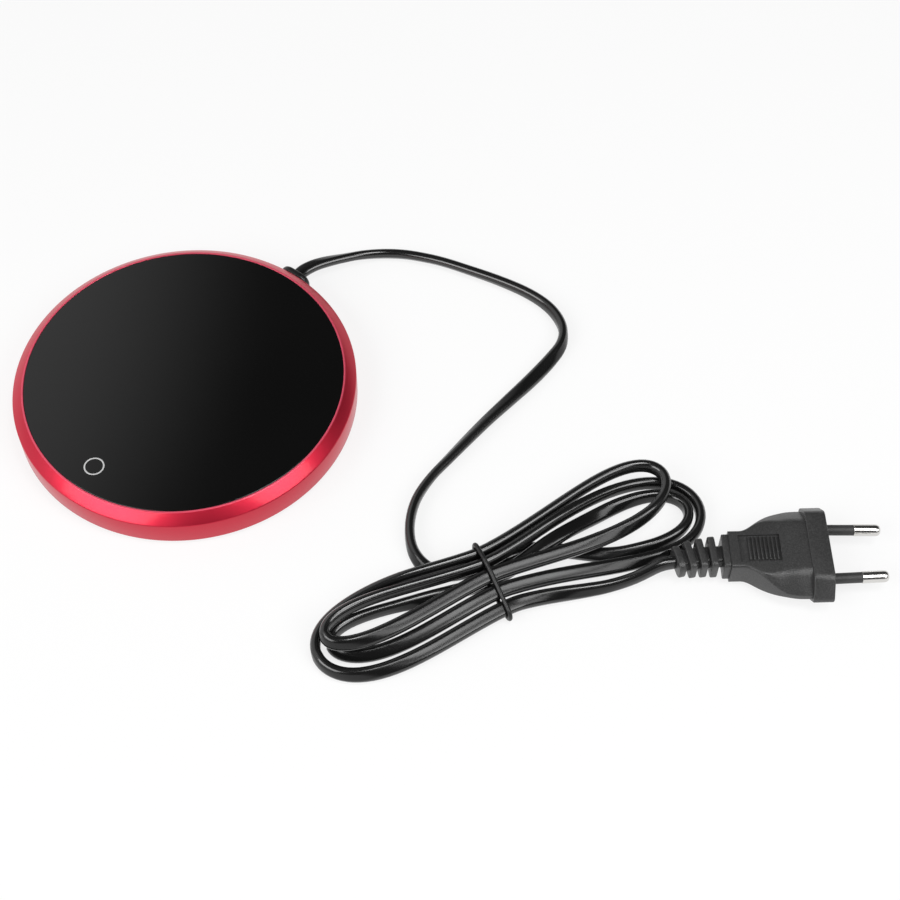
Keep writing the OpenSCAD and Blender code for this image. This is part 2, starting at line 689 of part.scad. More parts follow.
// Section of the moulded body at share s of the way from the neck to the collar: a flat top,
// side walls that sink from full height to a thin edge, and slopes that open between them
function body_section(s) =
    let(k = ease(1.06 * s), w = ease((s - 0.2) / 0.8))
    let(b = neck_w / 2 + (collar_w / 2 - body_step - neck_w / 2) * k)
    let(h = neck_t / 2 + (plug_half - neck_edge - neck_t / 2) * ease((s - 0.4) / 0.6))
    let(side = (h - neck_edge) * (1 - w) + body_edge * w)
    let(a = b - neck_edge - (h - neck_edge - side) * 1.3)
    let(low = 0.3 + 0.3 * w, top = 0.3 + 1.7 * w)
    softened([[b, -side, low], [b, side, low], [a, h, top], [-a, h, top],
        [-b, side, low], [-b, -side, low], [-a, -h, top], [a, -h, top]], 2);

module body_loft() {
    shares = [0, 0.1, 0.2, 0.3, 0.4, 0.5, 0.6, 0.7, 0.8, 0.9, 1];
    start = -collar_l - body_l;
    rings = concat([[neck_ring_l - neck_l, body_section(0)]], [for (s = shares) [s * body_l, body_section(s)]],
        [[body_l + 1, body_section(1)]]);
    skin([for (g = rings) [for (q = g[1]) [start + g[0], q[0], q[1]]]]);
}

// Moulded plug body: collar, flared grip with a ridged panel, and a bend relief of loose ribs
module plug_body() color([0.2, 0.2, 0.205]) at_plug() {
    back = collar_l + body_l + neck_l;
    panel = [13.6, 10];
    ridge_w = panel[1] - 1.4;
    panel_x = -collar_l - body_l - 0.8;
    floor_z = neck_t / 2 - 0.45;
    difference() {
        union() {
            body_loft();
            rotate([90, 0, 90]) translate([0, 0, -collar_l])
                linear_extrude(collar_l) polygon(softened(collar_outline(collar_w, collar_t, 0.8), 3));
            rotate([90, 0, 90]) translate([0, 0, -back]) linear_extrude(2 * neck_ring_l)
                polygon(softened(box_outline(neck_w - neck_ring_in, neck_t - neck_ring_in, 1.2)));
        }
        translate([-bridge_l - 0.1, -bridge_w / 2 - 0.1, -bridge_t / 2 - 0.1])
            cube([bridge_l + 1, bridge_w + 0.2, bridge_t + 0.2]);
        for (m = [0, 1]) mirror([0, 0, m]) translate([panel_x, -panel[1] / 2, floor_z])
            cube([panel[0], panel[1], 5]);
    }
    for (m = [0, 1]) mirror([0, 0, m]) for (i = [0:7])
        translate([panel_x + 3.2 + 1.3 * i, -ridge_w / 2, floor_z - 0.3]) cube([0.45, ridge_w, 0.65]);
    translate([-back, -relief_turn_r, 0]) {
        rotate(88) rotate_extrude(angle = relief_bend + 0.7, $fn = 720)
            translate([relief_turn_r, 0]) square([spine_w, spine_t], center = true);
        for (i = [0:relief_ribs - 1]) {
            behind = relief_l - rib_step * i;
            rotate(90 + behind / relief_turn_r * 180 / PI) translate([relief_turn_r, 0, 0])
                rotate([90, 0, 0]) linear_extrude(rib_t)
                    polygon(softened(box_outline(10 + 0.5 * i, 7.9 + 0.35 * i, 1.6)));
        }
    }
}

module plug_bridge() color([0.24, 0.24, 0.245]) at_plug() difference() {
    translate([-bridge_l, -bridge_w / 2, -bridge_t / 2]) cube([bridge_l, bridge_w, bridge_t]);
    at_pins() translate([0, 0, -bridge_l + 0.8]) cylinder(r = pin_shank_r + 0.05, h = 2 * bridge_l, $fn = 48);
}

module at_pins() {
    for (s = [-1, 1]) translate([0, s * pin_gap / 2, 0]) rotate([0, 90, -s * pin_lean]) children();
}

module plug_pins() color([0.82, 0.82, 0.8]) at_plug() at_pins()
    rotate_extrude($fn = 48)
        polygon(softened([[0, -bridge_l + 1.4, 0], [pin_shank_r, -bridge_l + 1.4, 0],
            [pin_shank_r, pin_sleeve_l, 0], [pin_r, pin_sleeve_l, 0.15], [pin_r, pin_l, 1.8], [0, pin_l, 0]], 6));

module pin_sleeves() color([0.13, 0.13, 0.135]) at_plug() at_pins()
    translate([0, 0, 0.06]) difference() {
        cylinder(r = sleeve_r, h = pin_sleeve_l - 0.08, $fn = 48);
        translate([0, 0, -1]) cylinder(r = pin_shank_r + 0.02, h = pin_sleeve_l + 2, $fn = 48);
    }

rim_ring();
glass_plate();
touch_mark();
glass_seal();
heat_spreader();
heater_disc();
insulation_pad();
pressure_plate();
thermal_cutout();
temperature_sensor();
control_board();
film_capacitor();
heater_switch();
touch_chip();
touch_spring();
status_led();
board_screws();
heater_leads();
base_cover();
base_screws();
rubber_feet();
cord_gland();
cord_clamp();
clamp_screws();
cord_stub();
mains_cores();
cord_lead();
cord_hank();
cord_tail();
cord_tie();
plug_body();
plug_bridge();
plug_pins();
pin_sleeves();
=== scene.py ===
# %% [markdown]
# # A round mug-warming pad
# The object is a flat pad that keeps a mug warm: black glass in a red metal rim, with a flat mains cord
# that is tied in a hank and ends in a moulded plug. The engineering model already holds every solid at
# its true size. It could be shown as it is, but fine edges, the supple cord and the moulded plug read
# better when they are modelled again here. So the model is loaded as a fixed frame, and new pieces are
# laid over it.

# %% Load the frame
import json
import math

import bmesh
import bpy
from mathutils import Matrix, Vector

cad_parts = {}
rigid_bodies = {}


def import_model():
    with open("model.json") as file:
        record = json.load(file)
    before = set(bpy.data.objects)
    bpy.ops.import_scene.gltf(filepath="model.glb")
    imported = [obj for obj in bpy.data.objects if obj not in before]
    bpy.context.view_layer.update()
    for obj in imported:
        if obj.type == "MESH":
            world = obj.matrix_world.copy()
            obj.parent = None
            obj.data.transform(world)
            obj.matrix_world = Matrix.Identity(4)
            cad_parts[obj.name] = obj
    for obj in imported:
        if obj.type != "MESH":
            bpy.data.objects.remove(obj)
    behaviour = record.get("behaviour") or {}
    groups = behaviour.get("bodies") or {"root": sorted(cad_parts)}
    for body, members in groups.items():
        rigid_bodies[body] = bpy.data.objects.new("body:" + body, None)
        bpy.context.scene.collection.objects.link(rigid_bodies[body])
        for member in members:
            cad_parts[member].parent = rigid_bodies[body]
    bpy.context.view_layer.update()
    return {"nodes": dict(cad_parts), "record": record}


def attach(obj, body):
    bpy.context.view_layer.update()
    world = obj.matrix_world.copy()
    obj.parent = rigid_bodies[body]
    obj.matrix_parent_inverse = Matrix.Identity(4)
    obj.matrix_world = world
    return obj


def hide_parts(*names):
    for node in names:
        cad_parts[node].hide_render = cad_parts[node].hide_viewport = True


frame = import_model()
nodes = frame["nodes"]
scene = bpy.context.scene
MM = 0.001

# %% [markdown]
# ## The camera
# The photograph looks down on the pad from its front right. The lens and the place were found from the
# two ellipses of the rim and from the plug. A camera can be turned by three angles, but aiming it at a
# point is easier to read: a track quaternion turns its lens, which looks along -Z, towards the target.


# %% Camera
def aimed(place, aim):
    """Angles that turn something at a place so that its -Z axis points at the aim."""
    return (Vector(aim) - Vector(place)).to_track_quat("-Z", "Y").to_euler()


EYE = (0.28145, -0.23477, 0.49376)
TARGET = (0.08896, 0.03509, 0.0014)
lens = bpy.data.cameras.new("photo_camera")
lens.sensor_width = 36
lens.lens = 68.37
lens.clip_start = 0.01
camera = bpy.data.objects.new("photo_camera", lens)
camera.location = EYE
camera.rotation_euler = aimed(EYE, TARGET)
scene.collection.objects.link(camera)
scene.camera = camera
print("camera stands", round((Vector(TARGET) - Vector(EYE)).length, 3), "m from its target")

# %% [markdown]
# ## The route of the cord
# The cord is flat, so each point of its route needs a roll as well as a place: 0 and 180 stand the cord
# on its edge and 90 lays it flat. The free run was laid out on the floor. It leaves the pad flat, tips up
# in the far bend, turns over on the long straight, and lies down again before it dives under the hank.

# %% Lead and tail points, in millimetres and degrees
LEAD = [
    (0, 63, 6, 90), (0.3, 66.5, 6, 94), (1.8, 71, 5.7, 104), (4.3, 75.8, 5, 118), (7.2, 80.4, 4.2, 132),
    (11.6, 86.6, 3.2, 144), (17.2, 92, 2.65, 150), (23.5, 96.2, 2.6, 150), (30, 99.2, 2.6, 150),
    (38, 102, 2.6, 150), (48.5, 104.4, 2.6, 154), (60, 106.6, 2.65, 160), (71, 107.8, 2.7, 168),
    (80, 107.3, 2.7, 176), (87, 105, 2.7, 180), (92.4, 101, 2.7, 176), (95.6, 95, 2.7, 160),
    (96.2, 87, 2.7, 132), (95.6, 76, 2.7, 100), (94.2, 64, 2.7, 72), (92.9, 53, 2.7, 55), (92, 42, 2.7, 43),
    (91.3, 31, 2.7, 31), (90.8, 21, 2.7, 19), (92, 11, 2.7, 8), (96, 2, 2.7, 2), (102, -5, 2.7, 10),
    (108.5, -8.2, 2.6, 40), (114.6, -7.6, 2.2, 70), (120.2, -3.6, 2.3, 88),
]
# the lead's last run, under the hank: along the hank, across it, height and roll
LEAD_UNDER = [
    (0, 9.1, 3.4, 90), (5, 9.3, 3.2, 90), (10, 9.7, 2.5, 90), (15, 9.4, 1.85, 90), (20, 7.8, 1.75, 90),
    (25, 5, 1.75, 90), (30, 1.8, 1.75, 90), (35, -1.7, 2, 86),
]
TAIL = [
    (147.6, 3.8, 3.4, 62), (152.4, 9, 3.2, 45), (158, 14.8, 3, 25), (163.6, 20.8, 3.2, 8),
    (169, 27.6, 4.4, 0),
]
print("lead and tail:", len(LEAD) + len(LEAD_UNDER) + len(TAIL), "points")

# %% [markdown]
# ## The loops of the hank
# The bundle could be drawn point by point, but loops that must not cut each other are easier to keep
# apart with a rule. At the tie every strand has a place across the hank, a height and a lean. From there
# each half loop swings out to its own reach and comes back to the next strand's place. It keeps its
# height and lean near the tie, sinks to its rest further out, and stands upright on the loop. The first
# loop rises once more, over the lead.

# %% Half loops by formula
HANK_AT = Vector((133, -2.2))
HANK_TURN = math.radians(61.5)
ALONG = Vector((math.cos(HANK_TURN), math.sin(HANK_TURN)))
ACROSS = Vector((-ALONG.y, ALONG.x))
# each strand at the tie: across, height, lean from upright
STRANDS = [
    (1.7, 2.3, 70), (2.9, 3.4, 90), (-3.1, 5.9, 70), (7.2, 8.1, 0), (2.4, 7.9, 70), (11.4, 8.1, 0),
    (-8.7, 4, 70),
]
# each half loop: reach, half width, swing, height at rest, and the shares of its reach, out and back,
# that it goes before it sinks
END_LOOPS = [
    (73, 9, -2.5, 2.7, 0.1, 0.2), (56, 5.3, 4.2, 2.7, 0.2, 0.1), (77, 11, -2, 2.7, 0.2, 0.3),
    (57.5, 5, 0.2, 8.7, 0.3, 0.2), (70, 7.4, 4.3, 8.7, 0.4, 0.45), (61.7, 6.5, 1.1, 2.7, 0.35, 0.1),
]
WIDEST = 0.431  # the greatest value of sin(x) ** 1.5 * cos(x)
AT_REST = 0.97  # share of the reach at which a strand has sunk to its rest
# the rise of the first loop over the lead: height, place along the hank, half length
HUMP, HUMP_AT, HUMP_HALF = 2.4, 25, 22
# how far out a strand starts to stand up, and the run that this takes
LATE, EARLY = (30, 40), (6, 30)


def ease(x):
    """A smooth rise from 0 to 1."""
    k = min(max(x, 0.0), 1.0)
    return k * k * (3 - 2 * k)


def on_floor(u, v):
    """The place that lies u along the hank and v across it."""
    return HANK_AT + u * ALONG + v * ACROSS


def station(i, s):
    """Place and roll on half loop i, at share s of its way."""
    reach, half_width, swing, rest, hold_out, hold_back = END_LOOPS[i]
    side = 1 if i % 2 == 0 else -1
    going_out = s < 0.5
    strand = i if going_out else i + 1
    _, home, lean = STRANDS[strand]
    hold = hold_out if going_out else hold_back
    q = max(math.sin(math.pi * s), 0.0)
    u = side * reach * q
    middle = STRANDS[i][0] + (STRANDS[i + 1][0] - STRANDS[i][0]) * ease(s)
    v = middle + swing * q * q - side * half_width / WIDEST * q**1.5 * math.cos(math.pi * s)
    z = home + (rest - home) * ease((q - hold) / (AT_REST - hold))
    if i == 0 and not going_out:
        z += HUMP * ease(1 - abs(u - HUMP_AT) / HUMP_HALF)
    begin, run = LATE if i == 0 or strand % 2 == 0 else EARLY
    upright = ease((abs(u) - begin) / run)
    return (*on_floor(u, v), z, (side if going_out else -side) * lean * (1 - upright))


STATIONS = 56  # on each half loop
JOIN = 0.19  # share of the first half loop at which the lead runs into it
hank = [station(0, JOIN + (1 - JOIN) * k / STATIONS) for k in range(STATIONS)]
hank += [station(i, k / STATIONS) for i in range(1, len(END_LOOPS)) for k in range(STATIONS)]
hank.append(station(len(END_LOOPS) - 1, 1))
print("hank:", len(hank), "stations on", len(END_LOOPS), "half loops")

# %% [markdown]
# ## One route
# The three runs have to become one line without kinks. Straight pieces between the points would show as
# corners, so the lead and the tail are made finer with a Catmull-Rom spline, which passes through every
# point. The place where the lead meets the first loop is then smoothed by a few rounds of averaging.


# %% Join the runs
def finer(points, steps):
    """Adds points between the given ones, on a Catmull-Rom spline."""
    rows = [Vector(p) for p in points]
    out = []
    for i in range(len(rows) - 1):
        a, b, c, d = rows[max(i - 1, 0)], rows[i], rows[i + 1], rows[min(i + 2, len(rows) - 1)]
        for k in range(steps):
            t = k / steps
            out.append(0.5 * (2 * b + (c - a) * t + (2 * a - 5 * b + 4 * c - d) * t**2
                              + (3 * b - a - 3 * c + d) * t**3))
    return out + [rows[-1]]


CORD_W, CORD_T = 5.3, 3.3
RELIEF_AT = Vector((177.2, 38.8, 6.85))
TAIL_TURN = math.radians(50)
TAIL_DROP = Vector((0, 0, 0.4))
STEPS = 4
under = [(*on_floor(u, v), z, roll) for u, v, z, roll in LEAD_UNDER]
tail_out = (*(Vector(hank[-1]).xyz + CORD_W * ALONG.to_3d() - TAIL_DROP), hank[-1][3])
tail_way = Vector((math.cos(TAIL_TURN), math.sin(TAIL_TURN), 0))
plug_run = (*(RELIEF_AT - CORD_W * tail_way), 0)
route = finer(LEAD + under + [hank[0]], STEPS)[:-1]
join = len(route)
route += [Vector(p) for p in hank[:-1]]
route += finer([hank[-1], tail_out] + TAIL + [plug_run, (*RELIEF_AT, 0)], STEPS)

EASE_ROUNDS, EASE_REACH = 10, 6
first, last = join - EASE_REACH, join + EASE_REACH
for _ in range(EASE_ROUNDS):
    route[first:last] = [(route[i - 1] + 2 * route[i] + route[i + 1]) / 4 for i in range(first, last)]
print("route:", len(route), "points")

# %% [markdown]
# ## The cord itself
# A flat cord is a section that is swept along its route. Rings of vertices could be worked out one by
# one, but Blender sweeps a curve by itself: a second curve is its bevel profile, and each point has a
# tilt. The swept curve is then turned into a mesh, because a mesh keeps its place in its vertices and
# carries a UV map along the cord for the finish.


# %% Sweep the cord
def flat_section(width, thick, arc=8):
    """Outline of a flat section with round edges, standing on its edge."""
    r = thick / 2
    spine = width / 2 - r
    ring = []
    for sign in (1, -1):
        for k in range(arc + 1):
            a = math.pi * k / arc
            ring.append((sign * r * math.cos(a), sign * (spine + r * math.sin(a))))
    return ring


MERGE = 1e-6


def swept(name, path, section):
    """A mesh of a section swept along a path of places and rolls."""
    profile = bpy.data.curves.new(name + "_profile", "CURVE")
    profile.dimensions = "2D"
    outline = profile.splines.new("POLY")
    outline.points.add(len(section) - 1)
    for point, (x, y) in zip(outline.points, section):
        point.co = (x * MM, y * MM, 0, 1)
    outline.use_cyclic_u = True
    profile_obj = bpy.data.objects.new(name + "_profile", profile)
    curve = bpy.data.curves.new(name + "_route", "CURVE")
    curve.dimensions = "3D"
    curve.twist_mode = "Z_UP"
    run = curve.splines.new("POLY")
    run.points.add(len(path) - 1)
    for point, (x, y, z, roll) in zip(run.points, path):
        point.co = (x * MM, y * MM, z * MM, 1)
        point.tilt = -math.radians(roll)
    curve.bevel_mode = "OBJECT"
    curve.bevel_object = profile_obj
    curve.use_fill_caps = True
    curve_obj = bpy.data.objects.new(name + "_route", curve)
    for helper in (profile_obj, curve_obj):
        scene.collection.objects.link(helper)
    view = bpy.context.evaluated_depsgraph_get()
    mesh = bpy.data.meshes.new_from_object(curve_obj.evaluated_get(view))
    mesh.name = name
    for helper, data in ((curve_obj, curve), (profile_obj, profile)):
        bpy.data.objects.remove(helper)
        bpy.data.curves.remove(data)
    bm = bmesh.new()
    bm.from_mesh(mesh)
    bmesh.ops.remove_doubles(bm, verts=bm.verts, dist=MERGE)
    bmesh.ops.recalc_face_normals(bm, faces=bm.faces)
    return bm


made = []


def add_piece(name, bm, slot, replaced, angle=40):
    """Turns a bmesh into a smooth-shaded piece on the one body, in place of a solid."""
    mesh = bpy.data.meshes.new(name)
    bm.to_mesh(mesh)
    bm.free()
    mesh.polygons.foreach_set("use_smooth", [True] * len(mesh.polygons))
    mesh.set_sharp_from_angle(angle=math.radians(angle))
    obj = bpy.data.objects.new(name, mesh)
    scene.collection.objects.link(obj)
    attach(obj, "root")
    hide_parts(*replaced)
    made.append((obj, slot))
    print(name, "has", len(mesh.polygons), "faces")
    return obj


cord = add_piece("flat_cord", swept("flat_cord", route, flat_section(CORD_W, CORD_T)), "cord_sheath",
                 ["cord_lead", "cord_hank", "cord_tail"])

# %% [markdown]
# ## The tie
# A thin round band holds the strands. It could be a plain ring, but a real one is pulled tight and hugs
# the bundle. So it is a closed run in the plane across the hank that turns round the edges of the outer
# strands, and a round section is set at each step of the run and bridged to the next.


# %% Tie
def strand_edge(k, side):
    """Centre of the rounded edge of strand k, upper (1) or lower (-1), in the plane across the hank."""
    across, height, lean = STRANDS[k]
    a = math.radians(lean)
    return Vector((across, height)) + side * (CORD_W - CORD_T) / 2 * Vector((math.sin(a), math.cos(a)))


def loop_edges(bm, verts):
    """Joins vertices to a closed loop of edges."""
    return [bm.edges.new(pair) for pair in zip(verts, verts[1:] + verts[:1])]


def bridge(bm, loops):
    """Lays faces from each loop of edges to the next."""
    for a, b in zip(loops, loops[1:]):
        bmesh.ops.bridge_loops(bm, edges=a + b)


TIE_R, TIE_GAP = 0.75, 0.25
TIE_TURN = CORD_T / 2 + TIE_GAP + TIE_R
TIE_STEPS, TIE_SIDES = 12, 14
tie_low = STRANDS[1][1]
# a level run below the bundle, then round the edges of strands 5, 3, 4 and 6
turns = [Vector((strand_edge(6, -1).x, tie_low)), Vector((STRANDS[5][0], tie_low)),
         strand_edge(5, 1), strand_edge(3, 1), strand_edge(4, 1), strand_edge(6, -1)]
tie_run = []
for before, here, after in zip(turns[-1:] + turns, turns, turns[1:] + turns[:1]):
    way_in = math.atan2((here - before).y, (here - before).x)
    bend = (math.atan2((after - here).y, (after - here).x) - way_in) % (2 * math.pi)
    for k in range(TIE_STEPS + 1):
        a = way_in - math.pi / 2 + bend * k / TIE_STEPS
        spot = here + TIE_TURN * Vector((math.cos(a), math.sin(a)))
        tie_run.append(Vector((*on_floor(0, spot.x), spot.y)))
tie_bm = bmesh.new()
tie_loops = []
for i, centre in enumerate(tie_run):
    ahead = (tie_run[(i + 1) % len(tie_run)] - tie_run[i - 1]).normalized()
    outward = ahead.cross(ALONG.to_3d())
    angles = [2 * math.pi * k / TIE_SIDES for k in range(TIE_SIDES)]
    spots = [centre + TIE_R * (math.cos(a) * outward + math.sin(a) * ALONG.to_3d()) for a in angles]
    tie_loops.append(loop_edges(tie_bm, [tie_bm.verts.new(spot * MM) for spot in spots]))
bridge(tie_bm, tie_loops + tie_loops[:1])
bmesh.ops.recalc_face_normals(tie_bm, faces=tie_bm.faces)
band = add_piece("hank_tie", tie_bm, "tie_plastic", ["cord_tie"])

# %% [markdown]
# ## The rim and the glass
# The rim is turned metal, so one outline spun about the vertical axis gives all of it: outer wall, sloped
# shoulder, thin lip, the seat of the glass and the inner wall. Sharp corners would look like a drawing,
# so the rings of corner edges are bevelled after the spin. The glass is a disc with a fine bevel, let
# into the seat.


# %% Turned pieces
def turned(outline, steps=256, closed=True):
    """Spins an outline of radius and height about the vertical axis."""
    bm = bmesh.new()
    chain = [bm.verts.new((r * MM, 0, z * MM)) for r, z in outline]
    edges = loop_edges(bm, chain) if closed else [bm.edges.new(pair) for pair in zip(chain, chain[1:])]
    bmesh.ops.spin(bm, geom=chain + edges, cent=(0, 0, 0), axis=(0, 0, 1), angle=2 * math.pi,
                   steps=steps, use_merge=True)
    bmesh.ops.remove_doubles(bm, verts=bm.verts, dist=MERGE)
    bmesh.ops.recalc_face_normals(bm, faces=bm.faces)
    return bm


def round_edges(bm, edges, width, segments):
    bmesh.ops.bevel(bm, geom=edges, offset=width * MM, offset_type="OFFSET", affect="EDGES",
                    segments=segments, profile=0.5, material=-1)


RING_REACH = 2e-5


def round_ring(bm, r, z, width):
    """Bevels the ring of edges at radius r and height z."""
    def on_ring(v):
        return abs(v.co.xy.length - r * MM) < RING_REACH and abs(v.co.z - z * MM) < RING_REACH

    round_edges(bm, [e for e in bm.edges if all(on_ring(v) for v in e.verts)], width, segments=4)


RIM_R, RIM_LOW, TOP = 60.0, 1.4, 13.5
SHOULDER_W, SHOULDER_H = 3.7, 3.0
SEAT_R, SEAT_Z = 55.7, 10.1
LEDGE_R, LEDGE_LOW, WALL_IN = 52.6, 8.5, 57.8
# each corner of the rim's outline: radius, height, bevel
RIM_CORNERS = [
    (WALL_IN, RIM_LOW, 0.2), (RIM_R, RIM_LOW, 0.4), (RIM_R, TOP - SHOULDER_H, 0.35),
    (RIM_R - SHOULDER_W, TOP, 0.22), (SEAT_R, TOP, 0.12), (SEAT_R, SEAT_Z, 0),
    (LEDGE_R, SEAT_Z, 0.2), (LEDGE_R, LEDGE_LOW, 0.2), (WALL_IN, LEDGE_LOW, 0),
]
rim_bm = turned([(r, z) for r, z, _ in RIM_CORNERS])
for r, z, bevel in RIM_CORNERS:
    if bevel:
        round_ring(rim_bm, r, z, bevel)
add_piece("turned_rim", rim_bm, "red_metal", ["rim_ring"], angle=50)

GLASS_R, GLASS_LOW, GLASS_EDGE = 55.6, 10.3, 0.25
glass_bm = turned([(0, GLASS_LOW), (GLASS_R, GLASS_LOW), (GLASS_R, TOP), (0, TOP)], closed=False)
round_ring(glass_bm, GLASS_R, TOP, GLASS_EDGE)
add_piece("black_glass", glass_bm, "black_glass", ["glass_plate"])

# %% [markdown]
# ## The printed touch ring
# The key is only a ring of light ink on the glass, so it has almost no height. A texture could draw it,
# but a very thin turned ring keeps its edge sharp from any distance.

# %% Touch ring
TOUCH_AT, TOUCH_R, TOUCH_LINE, INK = -46.5, 3.5, 0.5, 0.02
TOUCH_IN, INK_TOP = TOUCH_R - TOUCH_LINE, TOP + INK
ink_bm = turned([(TOUCH_IN, TOP), (TOUCH_R, TOP), (TOUCH_R, INK_TOP), (TOUCH_IN, INK_TOP)], steps=96)
bmesh.ops.translate(ink_bm, verts=ink_bm.verts, vec=(0, TOUCH_AT * MM, 0))
add_piece("touch_ring", ink_bm, "grey_print", ["touch_mark"])

# %% [markdown]
# ## The plug
# The plug is one rubber moulding: a collar, a body that narrows to a neck, and a bend relief of ribs on a
# thin core. It could be sculpted, but its sides follow clear lines, so sections are worked out from the
# neck to the collar and bridged one to the next. The sides are tall at the neck and sink to a thin edge
# at the collar. The plug is first built lying along X with its face at the origin.

# %% Sections of the body
COLLAR_W, COLLAR_T, COLLAR_L = 35.3, 13.7, 7.0
BODY_L, NECK_L, NECK_W, NECK_T = 22.0, 6.0, 14.0, 10.4
PANEL_FROM, PANEL_TO, PANEL_HALF = -29.8, -16.2, 5.0
FLARE = 1.65  # above 1, the body widens sooner
THIN_FROM, THIN_RUN = 0.18, 0.5  # shares of the body's length in which its sides grow thin
SWELL_FROM, SWELL_RUN = 0.4, 0.6  # and in which its faces rise towards the collar
SIDE_STEP, FACE_STEP = 1.6, 0.6  # how far the collar stands out at the sides and on the faces
EDGE_IN, THIN_SIDE, SLOPE = 0.6, 1.2, 1.3  # a corner's step in, a thin side's half height, a slope's run
SIDE_CUT, FACE_CUT = 0.3, 1.7  # lengths that the rounding takes from the corners
ROUND = 5  # steps round each corner


def soft_corners(corners, steps):
    """Rounds each corner, given with the length that is cut from its sides."""
    out = []
    for i, (x, y, cut) in enumerate(corners):
        b = Vector((x, y))
        a = Vector(corners[i - 1][:2])
        c = Vector(corners[(i + 1) % len(corners)][:2])
        p, q = b + (a - b).normalized() * cut, b + (c - b).normalized() * cut
        for k in range(steps + 1):
            t = k / steps
            out.append((1 - t) ** 2 * p + 2 * t * (1 - t) * b + t * t * q)
    return out


def eight_corners(b, side, a, h, low, top):
    """Thin upright sides at b, flat faces at h that reach to a, and slopes between them."""
    return [(b, -side, low), (b, side, low), (a, h, top), (-a, h, top),
            (-b, side, low), (-b, -side, low), (-a, -h, top), (a, -h, top)]


def body_section(s):
    """Outline of the body at share s of its way from the neck to the collar."""
    wide, thin = ease(1 - (1 - s) ** FLARE), ease((s - THIN_FROM) / THIN_RUN)
    b = NECK_W / 2 + (COLLAR_W / 2 - SIDE_STEP - NECK_W / 2) * wide
    h = NECK_T / 2 + (COLLAR_T / 2 - FACE_STEP - NECK_T / 2) * ease((s - SWELL_FROM) / SWELL_RUN)
    side = (h - EDGE_IN) * (1 - thin) + THIN_SIDE * thin
    a = b - EDGE_IN - (h - EDGE_IN - side) * SLOPE
    ring = soft_corners(eight_corners(b, side, a, h, SIDE_CUT, SIDE_CUT + FACE_CUT * thin), ROUND)
    # two more points on each flat face, where the grip panel's edges run
    upper, lower = 3 * (ROUND + 1), 7 * (ROUND + 1)
    on_top = [Vector((PANEL_HALF, h)), Vector((-PANEL_HALF, h))]
    below = [Vector((-PANEL_HALF, -h)), Vector((PANEL_HALF, -h))]
    return ring[:upper] + on_top + ring[upper:lower] + below + ring[lower:]


BODY_STEPS = 24
NECK_STEP, NECK_LOOP = 2.2, 2  # the neck's sections: from its end, and before the body
body_from = -COLLAR_L - BODY_L
shares = sorted({i / BODY_STEPS for i in range(BODY_STEPS + 1)} | {(PANEL_TO - body_from) / BODY_L})
neck_places = (body_from - NECK_L + NECK_STEP, body_from - NECK_LOOP, PANEL_FROM)
sections = [(x, body_section(0)) for x in neck_places]
sections += [(body_from + s * BODY_L, body_section(s)) for s in shares]
plug_bm = bmesh.new()
rings = [[plug_bm.verts.new(Vector((x, *p)) * MM) for p in ring] for x, ring in sections]
bridge(plug_bm, [loop_edges(plug_bm, ring) for ring in rings])
for end in (rings[0], rings[-1]):
    plug_bm.faces.new(end)
bmesh.ops.recalc_face_normals(plug_bm, faces=plug_bm.faces)
print("plug body:", len(sections), "sections")

# %% [markdown]
# ## The grip panel
# Both flat faces have a sunken panel with fine cross ridges for the thumb. The faces inside the panel's
# outline are picked by their place and pushed in, and the ridges are small bevelled bars that stand on
# the sunken floor.

# %% Grip panel and ridges
FLAT = 0.9  # the least height of the normal of a flat face


def in_panel(face, sign):
    """True for a face of the panel on the upper (1) or the lower (-1) side."""
    middle = face.calc_center_median() / MM
    return PANEL_FROM < middle.x < PANEL_TO and abs(middle.y) < PANEL_HALF and sign * face.normal.z > FLAT


def bar(bm, size, place, edge):
    """A block with rounded edges."""
    shape = Matrix.Translation(Vector(place) * MM) @ Matrix.Diagonal((*(Vector(size) * MM), 1))
    cube = bmesh.ops.create_cube(bm, size=1, matrix=shape)
    round_edges(bm, list(dict.fromkeys(e for v in cube["verts"] for e in v.link_edges)), edge, segments=2)


PANEL_DEPTH = 0.8
RIDGES, RIDGE_STEP, RIDGE_IN = 8, 1.3, 3.42
RIDGE_T, RIDGE_GAP, RIDGE_SUNK, RIDGE_EDGE = 0.55, 0.7, 0.06, 0.14
RIDGE_SIZE = (RIDGE_T, 2 * (PANEL_HALF - RIDGE_GAP), PANEL_DEPTH)
ridge_z = NECK_T / 2 - RIDGE_SUNK - PANEL_DEPTH / 2
for sign in (1, -1):
    panel_faces = [f for f in plug_bm.faces if in_panel(f, sign)]
    sunk = bmesh.ops.extrude_face_region(plug_bm, geom=panel_faces)
    bmesh.ops.delete(plug_bm, geom=panel_faces, context="FACES")
    for v in sunk["geom"]:
        if isinstance(v, bmesh.types.BMVert):
            v.co.z = sign * (NECK_T / 2 - PANEL_DEPTH) * MM
    for i in range(RIDGES):
        bar(plug_bm, RIDGE_SIZE, (PANEL_FROM + RIDGE_IN + RIDGE_STEP * i, 0, sign * ridge_z), RIDGE_EDGE)
bmesh.ops.recalc_face_normals(plug_bm, faces=plug_bm.faces)
print("panel floor at", round(NECK_T / 2 - PANEL_DEPTH, 2), "mm from the mid-plane")

# %% [markdown]
# ## The collar and the neck's ring
# The collar is a flattened eight-sided block with soft edges, and the neck ends in a smaller soft block.
# Both could be bevelled cubes, but their corners are cut by different lengths, so an outline is drawn
# with soft corners and extruded, and the edges of both ends are bevelled.


